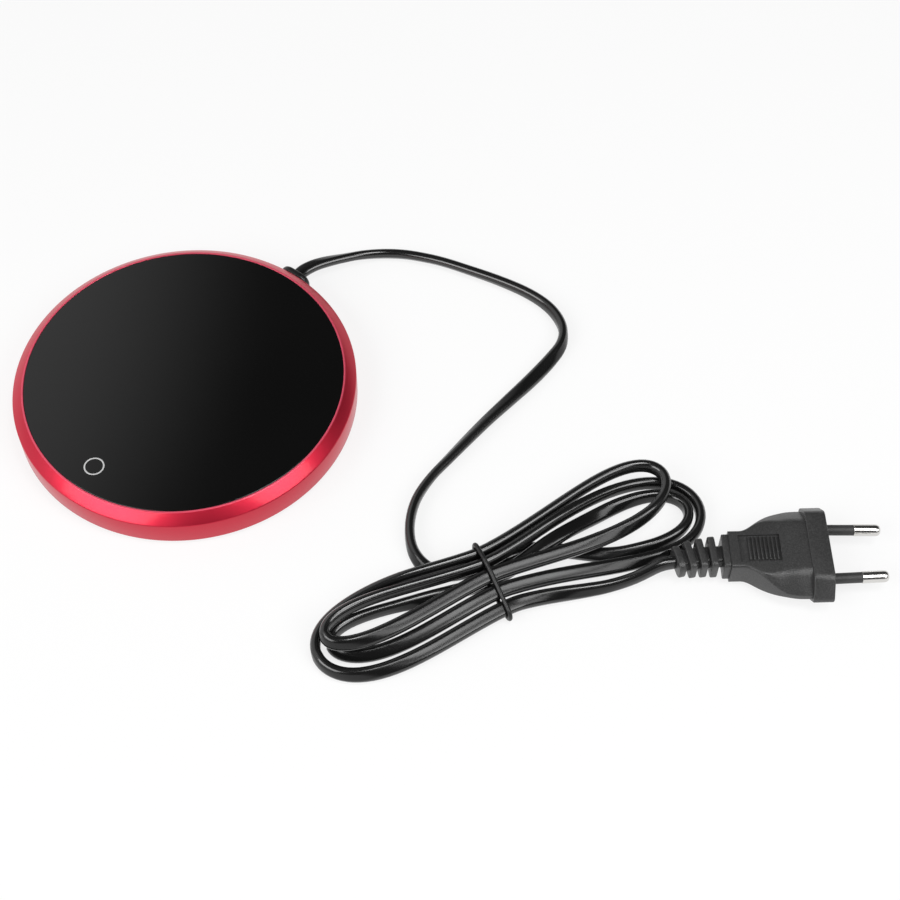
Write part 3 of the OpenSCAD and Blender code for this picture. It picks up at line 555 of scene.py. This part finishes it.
# %% Collar and neck ring
def block(bm, outline, x0, x1, edge, turn=Matrix.Identity(4)):
    """Extrudes an outline from x0 to x1 and rounds the edges of both ends."""
    face = bm.faces.new([bm.verts.new(turn @ Vector((x0 * MM, p.x * MM, p.y * MM))) for p in outline])
    grown = bmesh.ops.extrude_face_region(bm, geom=[face])["geom"]
    way = turn.to_3x3() @ Vector(((x1 - x0) * MM, 0, 0))
    bmesh.ops.translate(bm, verts=[v for v in grown if isinstance(v, bmesh.types.BMVert)], vec=way)
    ends = [face] + [f for f in grown if isinstance(f, bmesh.types.BMFace)]
    round_edges(bm, [e for f in ends for e in f.edges], edge, segments=3)


def box_corners(w, h, cut):
    return [(w / 2, -h / 2, cut), (w / 2, h / 2, cut), (-w / 2, h / 2, cut), (-w / 2, -h / 2, cut)]


BACK = COLLAR_L + BODY_L + NECK_L
# the collar: half height of its sides, run of its slopes, place of its face, bevel
COLLAR_SIDE, COLLAR_SLOPE, COLLAR_FACE, COLLAR_EDGE = 0.8, 0.84, -0.12, 0.35
COLLAR_SIDE_CUT, COLLAR_FACE_CUT = 0.7, 1.6
# the neck's ring: how much smaller than the neck, corners, length, bevel
RING_LESS, RING_CUT, RING_L, RING_EDGE = 1.4, 1.2, 4.4, 0.4
collar_reach = COLLAR_W / 2 - (COLLAR_T / 2 - COLLAR_SIDE) * COLLAR_SLOPE
collar = eight_corners(COLLAR_W / 2, COLLAR_SIDE, collar_reach, COLLAR_T / 2,
                       COLLAR_SIDE_CUT, COLLAR_FACE_CUT)
neck_ring = box_corners(NECK_W - RING_LESS, NECK_T - RING_LESS, RING_CUT)
block(plug_bm, soft_corners(collar, steps=4), -COLLAR_L, COLLAR_FACE, COLLAR_EDGE)
block(plug_bm, soft_corners(neck_ring, steps=4), -BACK, -BACK + RING_L, RING_EDGE)
print("collar", COLLAR_W, "x", COLLAR_T, "mm, neck ends", BACK, "mm behind the face")

# %% [markdown]
# ## The bend relief
# Behind the neck the relief bends with the cord: ribs that grow towards the plug sit on a thin core. A
# straight relief could be bent by a modifier, but placing each rib on the arc keeps its sides flat. So
# every rib is a block that is turned to its place, and the core is a run of rings bridged along the same
# arc.

# %% Bend relief
RELIEF_L, RELIEF_BEND = 15.6, math.radians(13)
TURN_R = RELIEF_L / RELIEF_BEND


def arc_place(behind):
    """Place on the relief's arc, that far behind the neck."""
    a = behind / TURN_R
    return Vector((-BACK - TURN_R * math.sin(a), -TURN_R * (1 - math.cos(a)), 0))


def on_arc(behind):
    """Moves a shape to its place on the arc, looking towards the plug."""
    return Matrix.Translation(arc_place(behind) * MM) @ Matrix.Rotation(behind / TURN_R, 4, "Z")


RIB_T, RIB_STEP, RIB_EDGE = 2.3, 3.75, 0.45
# each rib from the cord on: width, height, corner; the first is slim and round, as a loop lies close to it
RIBS = [(9.6, 7.9, 2.8), (10.5, 8.25, 1.6), (11, 8.6, 1.6), (11.5, 8.95, 1.6)]
for i, rib in enumerate(RIBS):
    rib_outline = soft_corners(box_corners(*rib), ROUND)
    block(plug_bm, rib_outline, 0, RIB_T, RIB_EDGE, on_arc(RELIEF_L - RIB_STEP * i))
CORE_W, CORE_T, CORE_CUT = 6.2, 4.6, 1
CORE_STEPS, CORE_FROM, CORE_TO = 16, RELIEF_L - 1, -0.5
core_ring = soft_corners(box_corners(CORE_W, CORE_T, CORE_CUT), steps=3)
core = []
for k in range(CORE_STEPS + 1):
    turn = on_arc(CORE_FROM + (CORE_TO - CORE_FROM) * k / CORE_STEPS)
    core.append(loop_edges(plug_bm, [plug_bm.verts.new(turn @ Vector((0, *p * MM))) for p in core_ring]))
bridge(plug_bm, core)
bmesh.ops.recalc_face_normals(plug_bm, faces=plug_bm.faces)
print("relief:", len(RIBS), "ribs on an arc of", round(TURN_R, 1), "mm")

# %% [markdown]
# ## Place the plug
# The relief's end has to meet the cord's end. Moving the finished object would put its place in its
# transform, so the mesh itself is turned and moved.

# %% Place the plug
to_plug = Matrix.Rotation(TAIL_TURN - RELIEF_BEND, 4, "Z")
face_at = RELIEF_AT - to_plug @ arc_place(RELIEF_L)
to_plug = Matrix.Translation(face_at * MM) @ to_plug
bmesh.ops.transform(plug_bm, matrix=to_plug, verts=plug_bm.verts)
plug = add_piece("plug_moulding", plug_bm, "plug_moulding", ["plug_body"], angle=35)
print("plug face at", [round(c, 2) for c in face_at], "mm")

# %% [markdown]
# ## The gland
# Where the cord leaves the rim, an oval cap of soft plastic holds it. The solid has a stepped cap. Here
# its outline is pulled out in one go and the edges are bevelled round, which is how a moulded cap looks.

# %% Gland cap
CAP_HALF, CAP_R, CAP_FROM, CAP_TO, GLAND_Z = 2.1, 4.0, 60.05, 63.0, 6.0
CAP_EDGE, CAP_STEPS = 1.1, 16
cap_outline = []
for sign in (1, -1):
    for k in range(CAP_STEPS + 1):
        a = math.pi * (k / CAP_STEPS - 0.5)
        cap_outline.append(sign * Vector((CAP_HALF + CAP_R * math.cos(a), CAP_R * math.sin(a))))
gland_bm = bmesh.new()
to_gland = Matrix.Translation((0, 0, GLAND_Z * MM)) @ Matrix.Rotation(math.pi / 2, 4, "Z")
block(gland_bm, cap_outline, CAP_FROM, CAP_TO, CAP_EDGE, to_gland)
bmesh.ops.recalc_face_normals(gland_bm, faces=gland_bm.faces)
gland = add_piece("gland_cap", gland_bm, "gland_plastic", ["cord_gland"])

# %% [markdown]
# A free cord is more than a shape: its real length, width and exit say how it could be laid again
# elsewhere. The photograph shows it from end to end, so its length is the length of the route.

# %% Cord facts
print("the cord's length is the length of its route")

# %% [markdown]
# ## Small tools for node trees
# Every finish is a small tree of nodes. Nodes can be made one call at a time, but then the plan gets lost
# in the wiring. These helpers make a node, feed it with a value or a link, and give back its output, so
# that a tree reads like a formula.


# %% Node helpers
def add(tree, kind, **settings):
    node = tree.nodes.new(kind)
    for key, value in settings.items():
        setattr(node, key, value)
    return node


def feed(tree, socket, value):
    """Links an output to a socket, or sets a plain value on it."""
    if isinstance(value, bpy.types.NodeSocket):
        tree.links.new(value, socket)
    else:
        socket.default_value = value


def math_node(tree, operation, a, b=0.0):
    node = add(tree, "ShaderNodeMath", operation=operation)
    feed(tree, node.inputs[0], a)
    feed(tree, node.inputs[1], b)
    return node.outputs[0]


def smooth_step(tree, value, start, end, low=0.0, high=1.0):
    """A smooth step of a value between two places, from one level to the other."""
    step = add(tree, "ShaderNodeMapRange", interpolation_type="SMOOTHSTEP")
    tree.links.new(value, step.inputs["Value"])
    for label, number in (("From Min", start), ("From Max", end), ("To Min", low), ("To Max", high)):
        step.inputs[label].default_value = number
    return step.outputs["Result"]


def noise(tree, vector, scale, detail, rough=0.5):
    node = add(tree, "ShaderNodeTexNoise")
    for label, value in (("Vector", vector), ("Scale", scale), ("Detail", detail), ("Roughness", rough)):
        feed(tree, node.inputs[label], value)
    return node.outputs["Fac"]


def separate(tree, vector):
    node = add(tree, "ShaderNodeSeparateXYZ")
    tree.links.new(vector, node.inputs[0])
    return node.outputs


def new_group(name, values, results):
    """A node group with a Vector input, an input for each value and an output for each result."""
    group = bpy.data.node_groups.new(name, "ShaderNodeTree")
    group.interface.new_socket("Vector", in_out="INPUT", socket_type="NodeSocketVector")
    for label, value in values.items():
        socket = group.interface.new_socket(label, in_out="INPUT", socket_type="NodeSocketFloat")
        socket.default_value = value
    for label in results:
        group.interface.new_socket(label, in_out="OUTPUT", socket_type="NodeSocketFloat")
    return group, group.nodes.new("NodeGroupInput").outputs, group.nodes.new("NodeGroupOutput").inputs


print("node helpers ready")

# %% [markdown]
# ## Grain and dust
# No real surface is one flat colour. Moulded plastic has a fine grain, handled surfaces have cloudy marks
# that change the gloss, and a little dust settles on what faces up. Each of these could be painted, but a
# node group with its own inputs can be placed in every finish with other values.

# %% Grain and dust groups
CLOUD_SHARE = 0.06  # the clouds are this much coarser than the grain
grain, grain_in, grain_out = new_group("moulded_grain", {"Size": 900.0}, ["Height", "Cloud"])
cloud_size = math_node(grain, "MULTIPLY", grain_in["Size"], CLOUD_SHARE)
grain.links.new(noise(grain, grain_in["Vector"], grain_in["Size"], detail=3, rough=0.6), grain_out["Height"])
grain.links.new(noise(grain, grain_in["Vector"], cloud_size, detail=4), grain_out["Cloud"])

MOTE_FROM, MOTE_GAIN = 0.68, 6  # noise above this level is a mote, and how fast it thickens
dust, dust_in, dust_out = new_group("settled_dust", {"Size": 3000.0}, ["Mask"])
facing = separate(dust, add(dust, "ShaderNodeNewGeometry").outputs["Normal"])
motes = math_node(dust, "SUBTRACT", noise(dust, dust_in["Vector"], dust_in["Size"], detail=2), MOTE_FROM)
sparse = math_node(dust, "MULTIPLY", math_node(dust, "MAXIMUM", motes), MOTE_GAIN)
upward = math_node(dust, "MAXIMUM", facing["Z"])
dust.links.new(math_node(dust, "MULTIPLY", sparse, upward), dust_out["Mask"])
print("grain and dust ready")

# %% [markdown]
# ## Marks of the making, and a painted highlight
# Turned metal has fine lines from the tool, and the rim's lip is cut bright and painted a lighter pink,
# which is partly its cut finish and partly a painted highlight, so both follow the distance from the axis.
# The cord's sheath is drawn through a die, which leaves lines along it and a smoother skin on its round
# edges. A noise in space could not follow the cord, so that group reads the cord's own UV map.


# %% Lathe, lip and sheath groups
def radius_and_height(tree, vector):
    """Distance of a place from the upright axis, and its height."""
    split = separate(tree, vector)
    level = add(tree, "ShaderNodeCombineXYZ")
    for axis in "XY":
        tree.links.new(split[axis], level.inputs[axis])
    length = add(tree, "ShaderNodeVectorMath", operation="LENGTH")
    tree.links.new(level.outputs[0], length.inputs[0])
    return length.outputs["Value"], split["Z"]


lathe, lathe_in, lathe_out = new_group("lathe_lines", {"Lines": 9000.0}, ["Height"])
# the difference of radius and height changes on the wall, on the shoulder and on the lip alike
tool_way = math_node(lathe, "SUBTRACT", *radius_and_height(lathe, lathe_in["Vector"]))
cut_lines = add(lathe, "ShaderNodeTexNoise", noise_dimensions="1D")
cut_lines.inputs["Scale"].default_value = 1
cut_lines.inputs["Detail"].default_value = 2
lathe.links.new(math_node(lathe, "MULTIPLY", tool_way, lathe_in["Lines"]), cut_lines.inputs["W"])
lathe.links.new(cut_lines.outputs["Fac"], lathe_out["Height"])

# a ring mask on the lip: its cut, polished finish and a painted highlight along it
highlight_ring, highlight_ring_in, highlight_ring_out = new_group("polish_and_highlight_ring", {"Radius": 0.05, "Width": 0.001}, ["Mask"])
radius, _ = radius_and_height(highlight_ring, highlight_ring_in["Vector"])
lip_way = math_node(highlight_ring, "SUBTRACT", radius, highlight_ring_in["Radius"])
lip_share = math_node(highlight_ring, "DIVIDE", lip_way, highlight_ring_in["Width"])
fall = math_node(highlight_ring, "MINIMUM", math_node(highlight_ring, "MULTIPLY", lip_share, lip_share), 1.0)
highlight_ring.links.new(math_node(highlight_ring, "SUBTRACT", 1.0, fall), highlight_ring_out["Mask"])

ALONG_LINES = 60
drawn, drawn_in, drawn_out = new_group("drawn_sheath", {"Lines": 90.0}, ["Height", "Edge"])
on_cord = separate(drawn, drawn_in["Vector"])
strokes = add(drawn, "ShaderNodeCombineXYZ")
drawn.links.new(math_node(drawn, "MULTIPLY", on_cord["X"], ALONG_LINES), strokes.inputs["X"])
drawn.links.new(math_node(drawn, "MULTIPLY", on_cord["Y"], drawn_in["Lines"]), strokes.inputs["Y"])
drawn.links.new(noise(drawn, strokes.outputs[0], scale=1, detail=2), drawn_out["Height"])
# 1 on the round edges and 0 on the flat sides: both halves of the section are alike, so they are folded
half_turn = math_node(drawn, "FRACT", math_node(drawn, "MULTIPLY", on_cord["Y"], 2))
folded = math_node(drawn, "MINIMUM", half_turn, math_node(drawn, "SUBTRACT", 1, half_turn))
drawn.links.new(smooth_step(drawn, folded, start=0.1, end=0.25), drawn_out["Edge"])
print("node groups:", [group.name for group in bpy.data.node_groups])

# %% [markdown]
# ## A finish from a few values
# Most finishes share one plan: a colour that clouds a little towards a second one, a roughness that
# wanders between two values, and a bump from the grain. One function builds that plan, and each finish
# gives its own numbers. Values that are the same all over are set on the shader itself.

# %% Finish builder
SOCKET_KIND = {"FLOAT": "VALUE", "RGBA": "RGBA"}


def blend(tree, kind, factor, a, b):
    """Mixes two numbers or two colours by a factor."""
    mix = add(tree, "ShaderNodeMix", data_type=kind)
    tree.links.new(factor, mix.inputs[0])
    ends = [s for s in mix.inputs if s.type == SOCKET_KIND[kind] and s.name in ("A", "B")]
    feed(tree, ends[0], a)
    feed(tree, ends[1], b)
    return next(s for s in mix.outputs if s.type == SOCKET_KIND[kind])


def use_group(tree, group, vector, **values):
    node = add(tree, "ShaderNodeGroup", node_tree=group)
    tree.links.new(vector, node.inputs["Vector"])
    for label, value in values.items():
        node.inputs[label].default_value = value
    return node.outputs


FINISHES = {}
COAT_ROUGH, BUMP_DEPTH = 0.12, 0.0002
DOT_FROM, DOT_GAIN = 0.4, 4
DUST_COLOUR = (0.5, 0.5, 0.48, 1)


def finish(name, colour, second, rough, metal=0.0, grain_size=900, bump=0.1, coat=0.0, spec=0.5,
           dusty=0.0, lines=0, speckle=None, lip=None, sheath=False):
    """Builds a material; lip is a bright ring's radius, width, colour and metal, its colour partly a painted
    highlight.
    """
    material = bpy.data.materials.new(name)
    material.use_nodes = True
    tree = material.node_tree
    shader = tree.nodes["Principled BSDF"].inputs
    shader["Metallic"].default_value = metal
    shader["Specular IOR Level"].default_value = spec
    shader["Coat Weight"].default_value = coat
    shader["Coat Roughness"].default_value = COAT_ROUGH
    place = add(tree, "ShaderNodeTexCoord").outputs["Object"]
    texture = use_group(tree, grain, place, Size=grain_size)
    tone = blend(tree, "RGBA", texture["Cloud"], (*colour, 1), (*second, 1))
    height = texture["Height"]
    if speckle:
        dots = math_node(tree, "MULTIPLY", math_node(tree, "SUBTRACT", height, DOT_FROM), DOT_GAIN)
        tone = blend(tree, "RGBA", dots, tone, (*speckle, 1))
    if dusty:
        film = math_node(tree, "MULTIPLY", use_group(tree, dust, place)["Mask"], dusty)
        tone = blend(tree, "RGBA", film, tone, DUST_COLOUR)
    if lip:
        # the lip is painted lighter: partly its polished cut, partly a painted highlight
        lip_r, lip_w, lip_polish_and_highlight_colour, lip_metal = lip
        lip_polish_and_highlight = use_group(tree, highlight_ring, place, Radius=lip_r * MM, Width=lip_w * MM)["Mask"]
        tone = blend(tree, "RGBA", lip_polish_and_highlight, tone, (*lip_polish_and_highlight_colour, 1))
        tree.links.new(blend(tree, "FLOAT", lip_polish_and_highlight, metal, lip_metal), shader["Metallic"])
    if lines:
        height = use_group(tree, lathe, place, Lines=lines)["Height"]
    if sheath:
        skin = use_group(tree, drawn, add(tree, "ShaderNodeUVMap", uv_map="UVMap").outputs["UV"])
        tree.links.new(skin["Edge"], shader["Coat Weight"])
        height = skin["Height"]
    relief = add(tree, "ShaderNodeBump")
    relief.inputs["Strength"].default_value = bump
    relief.inputs["Distance"].default_value = BUMP_DEPTH
    tree.links.new(height, relief.inputs["Height"])
    tree.links.new(tone, shader["Base Color"])
    tree.links.new(blend(tree, "FLOAT", texture["Cloud"], *rough), shader["Roughness"])
    tree.links.new(relief.outputs["Normal"], shader["Normal"])
    FINISHES[name] = material


def grey(level):
    return (level, level, level)


print("finish builder ready")

# %% [markdown]
# ## Finishes of the outside
# The rim is dyed metal with turned lines and a bright lip, whose lighter pink is partly a painted
# highlight, and a thin coat gives it a sheen. The glass is black and smooth, the cord glossy, and the plug
# has a matt grain with fine pale specks. Each line gives the two colours, the two ends of the roughness,
# and what is special.

# %% Outside finishes
# the rim's lip is painted a lighter pink: a painted highlight as well as its cut finish
finish("red_metal", (0.62, 0.024, 0.055), (0.56, 0.018, 0.045), (0.34, 0.42), metal=0.9, grain_size=500,
       bump=0.03, coat=0.28, lines=9000, lip=(56.0, 0.5, (0.85, 0.1, 0.17), 0.4))
finish("black_glass", grey(0.002), grey(0.003), (0.12, 0.16), grain_size=300, bump=0.002, dusty=0.02)
finish("grey_print", grey(0.58), grey(0.5), (0.5, 0.6))
finish("cord_sheath", grey(0.005), grey(0.008), (0.18, 0.26), grain_size=700, bump=0.06, spec=0.36,
       dusty=0.03, sheath=True)
finish("tie_plastic", grey(0.005), grey(0.009), (0.34, 0.44), bump=0.2)
finish("gland_plastic", grey(0.003), grey(0.006), (0.32, 0.42), bump=0.15)
finish("plug_moulding", grey(0.022), grey(0.03), (0.3, 0.42), grain_size=2000, bump=0.38, dusty=0.15,
       speckle=grey(0.046))
finish("plug_hard", grey(0.05), grey(0.06), (0.5, 0.6), bump=0.25)
finish("pin_nickel", (0.72, 0.71, 0.69), (0.66, 0.65, 0.63), (0.14, 0.22), metal=1.0, bump=0.03)
finish("sleeve_plastic", grey(0.03), grey(0.036), (0.45, 0.55), bump=0.15)
finish("base_plastic", (0.012, 0.012, 0.013), (0.018, 0.018, 0.019), (0.55, 0.7), grain_size=1800, bump=0.4)
finish("foot_rubber", grey(0.02), grey(0.03), (0.7, 0.85), bump=0.3)
print(len(FINISHES), "finishes of the outside")

# %% [markdown]
# ## Finishes of the inside
# The heater, the board and the wiring are closed in, but the part may be cut open or taken apart. So they
# get finishes of their own as well, from the same plan.

# %% Inside finishes
finish("seal", grey(0.05), grey(0.07), (0.6, 0.7), bump=0.2)
finish("bare_aluminium", (0.68, 0.68, 0.7), (0.6, 0.6, 0.62), (0.3, 0.4), metal=1.0, lines=5000)
finish("mica", (0.42, 0.3, 0.15), (0.55, 0.42, 0.24), (0.35, 0.5), grain_size=250, bump=0.2)
finish("felt", (0.7, 0.68, 0.6), (0.78, 0.76, 0.7), (0.85, 0.95), grain_size=2500, bump=0.8)
finish("steel_plate", (0.5, 0.5, 0.52), (0.42, 0.42, 0.44), (0.35, 0.5), metal=1.0, lines=3000)
finish("dark_case", (0.02, 0.02, 0.021), (0.03, 0.03, 0.031), (0.5, 0.6), bump=0.2)
finish("sensor_bead", (0.02, 0.07, 0.035), (0.03, 0.09, 0.05), (0.15, 0.25), coat=0.5)
finish("board", (0.015, 0.13, 0.05), (0.02, 0.17, 0.07), (0.35, 0.5), grain_size=2000, bump=0.2)
finish("capacitor_case", (0.6, 0.4, 0.05), (0.66, 0.46, 0.08), (0.35, 0.45), bump=0.15)
finish("spring_metal", (0.72, 0.56, 0.28), (0.62, 0.47, 0.22), (0.2, 0.3), metal=1.0)
finish("lamp", (0.8, 0.8, 0.72), (0.7, 0.7, 0.62), (0.2, 0.3), coat=0.4)
finish("screw_steel", (0.55, 0.55, 0.56), (0.46, 0.46, 0.48), (0.25, 0.4), metal=1.0)
finish("fibre_sleeve", (0.74, 0.7, 0.62), (0.66, 0.62, 0.54), (0.8, 0.9), grain_size=4000, bump=0.6)
finish("core_sheath", (0.16, 0.06, 0.025), (0.2, 0.08, 0.035), (0.3, 0.4))
print(len(FINISHES), "finishes in all")

# %% [markdown]
# ## Paint every piece
# The record names a finish for each solid. New pieces got the name of their finish when they were added,
# so both can be painted by the same small function.


# %% Paint
def paint(obj, name):
    obj.data.materials.clear()
    obj.data.materials.append(FINISHES[name])


for part in frame["record"]["subparts"]:
    paint(nodes[part["node"]], part["material_slot"])
for piece, slot in made:
    paint(piece, slot)
print("painted", len(nodes), "solids and", len(made), "new pieces")

# %% [markdown]
# ## The floor
# The photograph is a product shot on white. The floor could be a bright lamp-lit sheet, but then the
# light would also flood the object. So the floor is a plain white sheet that looks almost white to the
# camera and to reflections, wholly white further off, and keeps a faint shadow near the object.

# %% Floor
FLOOR_HALF, FLOOR_BELOW = 4, 0.0002
floor_mesh = bpy.data.meshes.new("studio_floor")
floor_bm = bmesh.new()
bmesh.ops.create_grid(floor_bm, x_segments=1, y_segments=1, size=FLOOR_HALF)
floor_bm.to_mesh(floor_mesh)
floor_bm.free()
floor = bpy.data.objects.new("studio_floor", floor_mesh)
floor.location.z = -FLOOR_BELOW
scene.collection.objects.link(floor)


def seen_rays(tree):
    """1 for what the camera sees, directly, mirrored or through something, and 0 for light."""
    rays = add(tree, "ShaderNodeLightPath").outputs
    mirrored = math_node(tree, "MAXIMUM", rays["Is Glossy Ray"], rays["Is Transmission Ray"])
    return math_node(tree, "MAXIMUM", rays["Is Camera Ray"], mirrored)


paper = bpy.data.materials.new("studio_paper")
paper.use_nodes = True
paper_tree = paper.node_tree
paper_tree.nodes.clear()
sheet = add(paper_tree, "ShaderNodeBsdfDiffuse")
sheet.inputs["Color"].default_value = (0.88, 0.88, 0.88, 1)
glow = add(paper_tree, "ShaderNodeEmission")
away = add(paper_tree, "ShaderNodeVectorMath", operation="LENGTH")
paper_tree.links.new(add(paper_tree, "ShaderNodeTexCoord").outputs["Object"], away.inputs[0])
glow_share = smooth_step(paper_tree, away.outputs["Value"], start=0.4, end=1.2, low=0.8, high=1.0)
mix = add(paper_tree, "ShaderNodeMixShader")
paper_tree.links.new(math_node(paper_tree, "MULTIPLY", seen_rays(paper_tree), glow_share), mix.inputs[0])
paper_tree.links.new(sheet.outputs[0], mix.inputs[1])
paper_tree.links.new(glow.outputs[0], mix.inputs[2])
paper_tree.links.new(mix.outputs[0], add(paper_tree, "ShaderNodeOutputMaterial").inputs[0])
floor_mesh.materials.append(paper)
print("floor", 2 * FLOOR_HALF, "m wide")

# %% [markdown]
# ## The world
# An even white world would fill the glass with one flat grey. So the world is dark overhead, white at the
# horizon and bright to the left: the glass mirrors it and shows that change as a soft sheen.

# %% World
BRIGHT_SIDE = Vector((-0.9, -0.1, 0.42)).normalized()
scene.world = bpy.data.worlds.new("studio_world")
scene.world.use_nodes = True
sky_tree = scene.world.node_tree
look = add(sky_tree, "ShaderNodeTexCoord").outputs["Generated"]
rise = separate(sky_tree, look)["Z"]
toward = add(sky_tree, "ShaderNodeVectorMath", operation="DOT_PRODUCT")
sky_tree.links.new(look, toward.inputs[0])
toward.inputs[1].default_value = BRIGHT_SIDE
bright_side = smooth_step(sky_tree, toward.outputs["Value"], start=0.62, end=0.88, low=0.05, high=0.75)
horizon = smooth_step(sky_tree, rise, start=0.0, end=0.4, low=0.5, high=0.0)
white_edge = smooth_step(sky_tree, rise, start=0.1, end=0.28, low=1.0, high=0.0)
backdrop = math_node(sky_tree, "MULTIPLY", seen_rays(sky_tree), white_edge)
light = math_node(sky_tree, "MAXIMUM", bright_side, horizon)
sky = sky_tree.nodes["Background"].inputs
sky["Color"].default_value = (1, 1, 1, 1)
sky_tree.links.new(math_node(sky_tree, "MAXIMUM", light, backdrop), sky["Strength"])
print("world made")

# %% [markdown]
# ## The lamps
# Small lamps would make hard dots on the metal. Soft boxes at the left and the right draw the broad
# highlights of the rim, and a smaller one high above draws the thin bright lines of the lip and the cord.


# %% Soft boxes
def softbox(name, place, aim, size, power):
    data = bpy.data.lights.new(name, "AREA")
    data.shape = "RECTANGLE"
    data.size, data.size_y = size
    data.energy = power
    lamp = bpy.data.objects.new(name, data)
    lamp.location = place
    lamp.rotation_euler = aimed(place, aim)
    scene.collection.objects.link(lamp)


softbox("left_box", (-0.2, -0.88, 0.74), aim=(0, 0, 0), size=(0.9, 0.7), power=9)
softbox("right_box", (0.87, 0.08, 0.78), aim=(0.1, 0, 0), size=(0.6, 0.6), power=5.5)
softbox("top_box", (0.38, 0.05, 1.15), aim=(0.12, 0, 0), size=(0.36, 0.36), power=3.8)
scene.view_settings.view_transform = "Standard"
print(len(bpy.data.lights), "lamps")
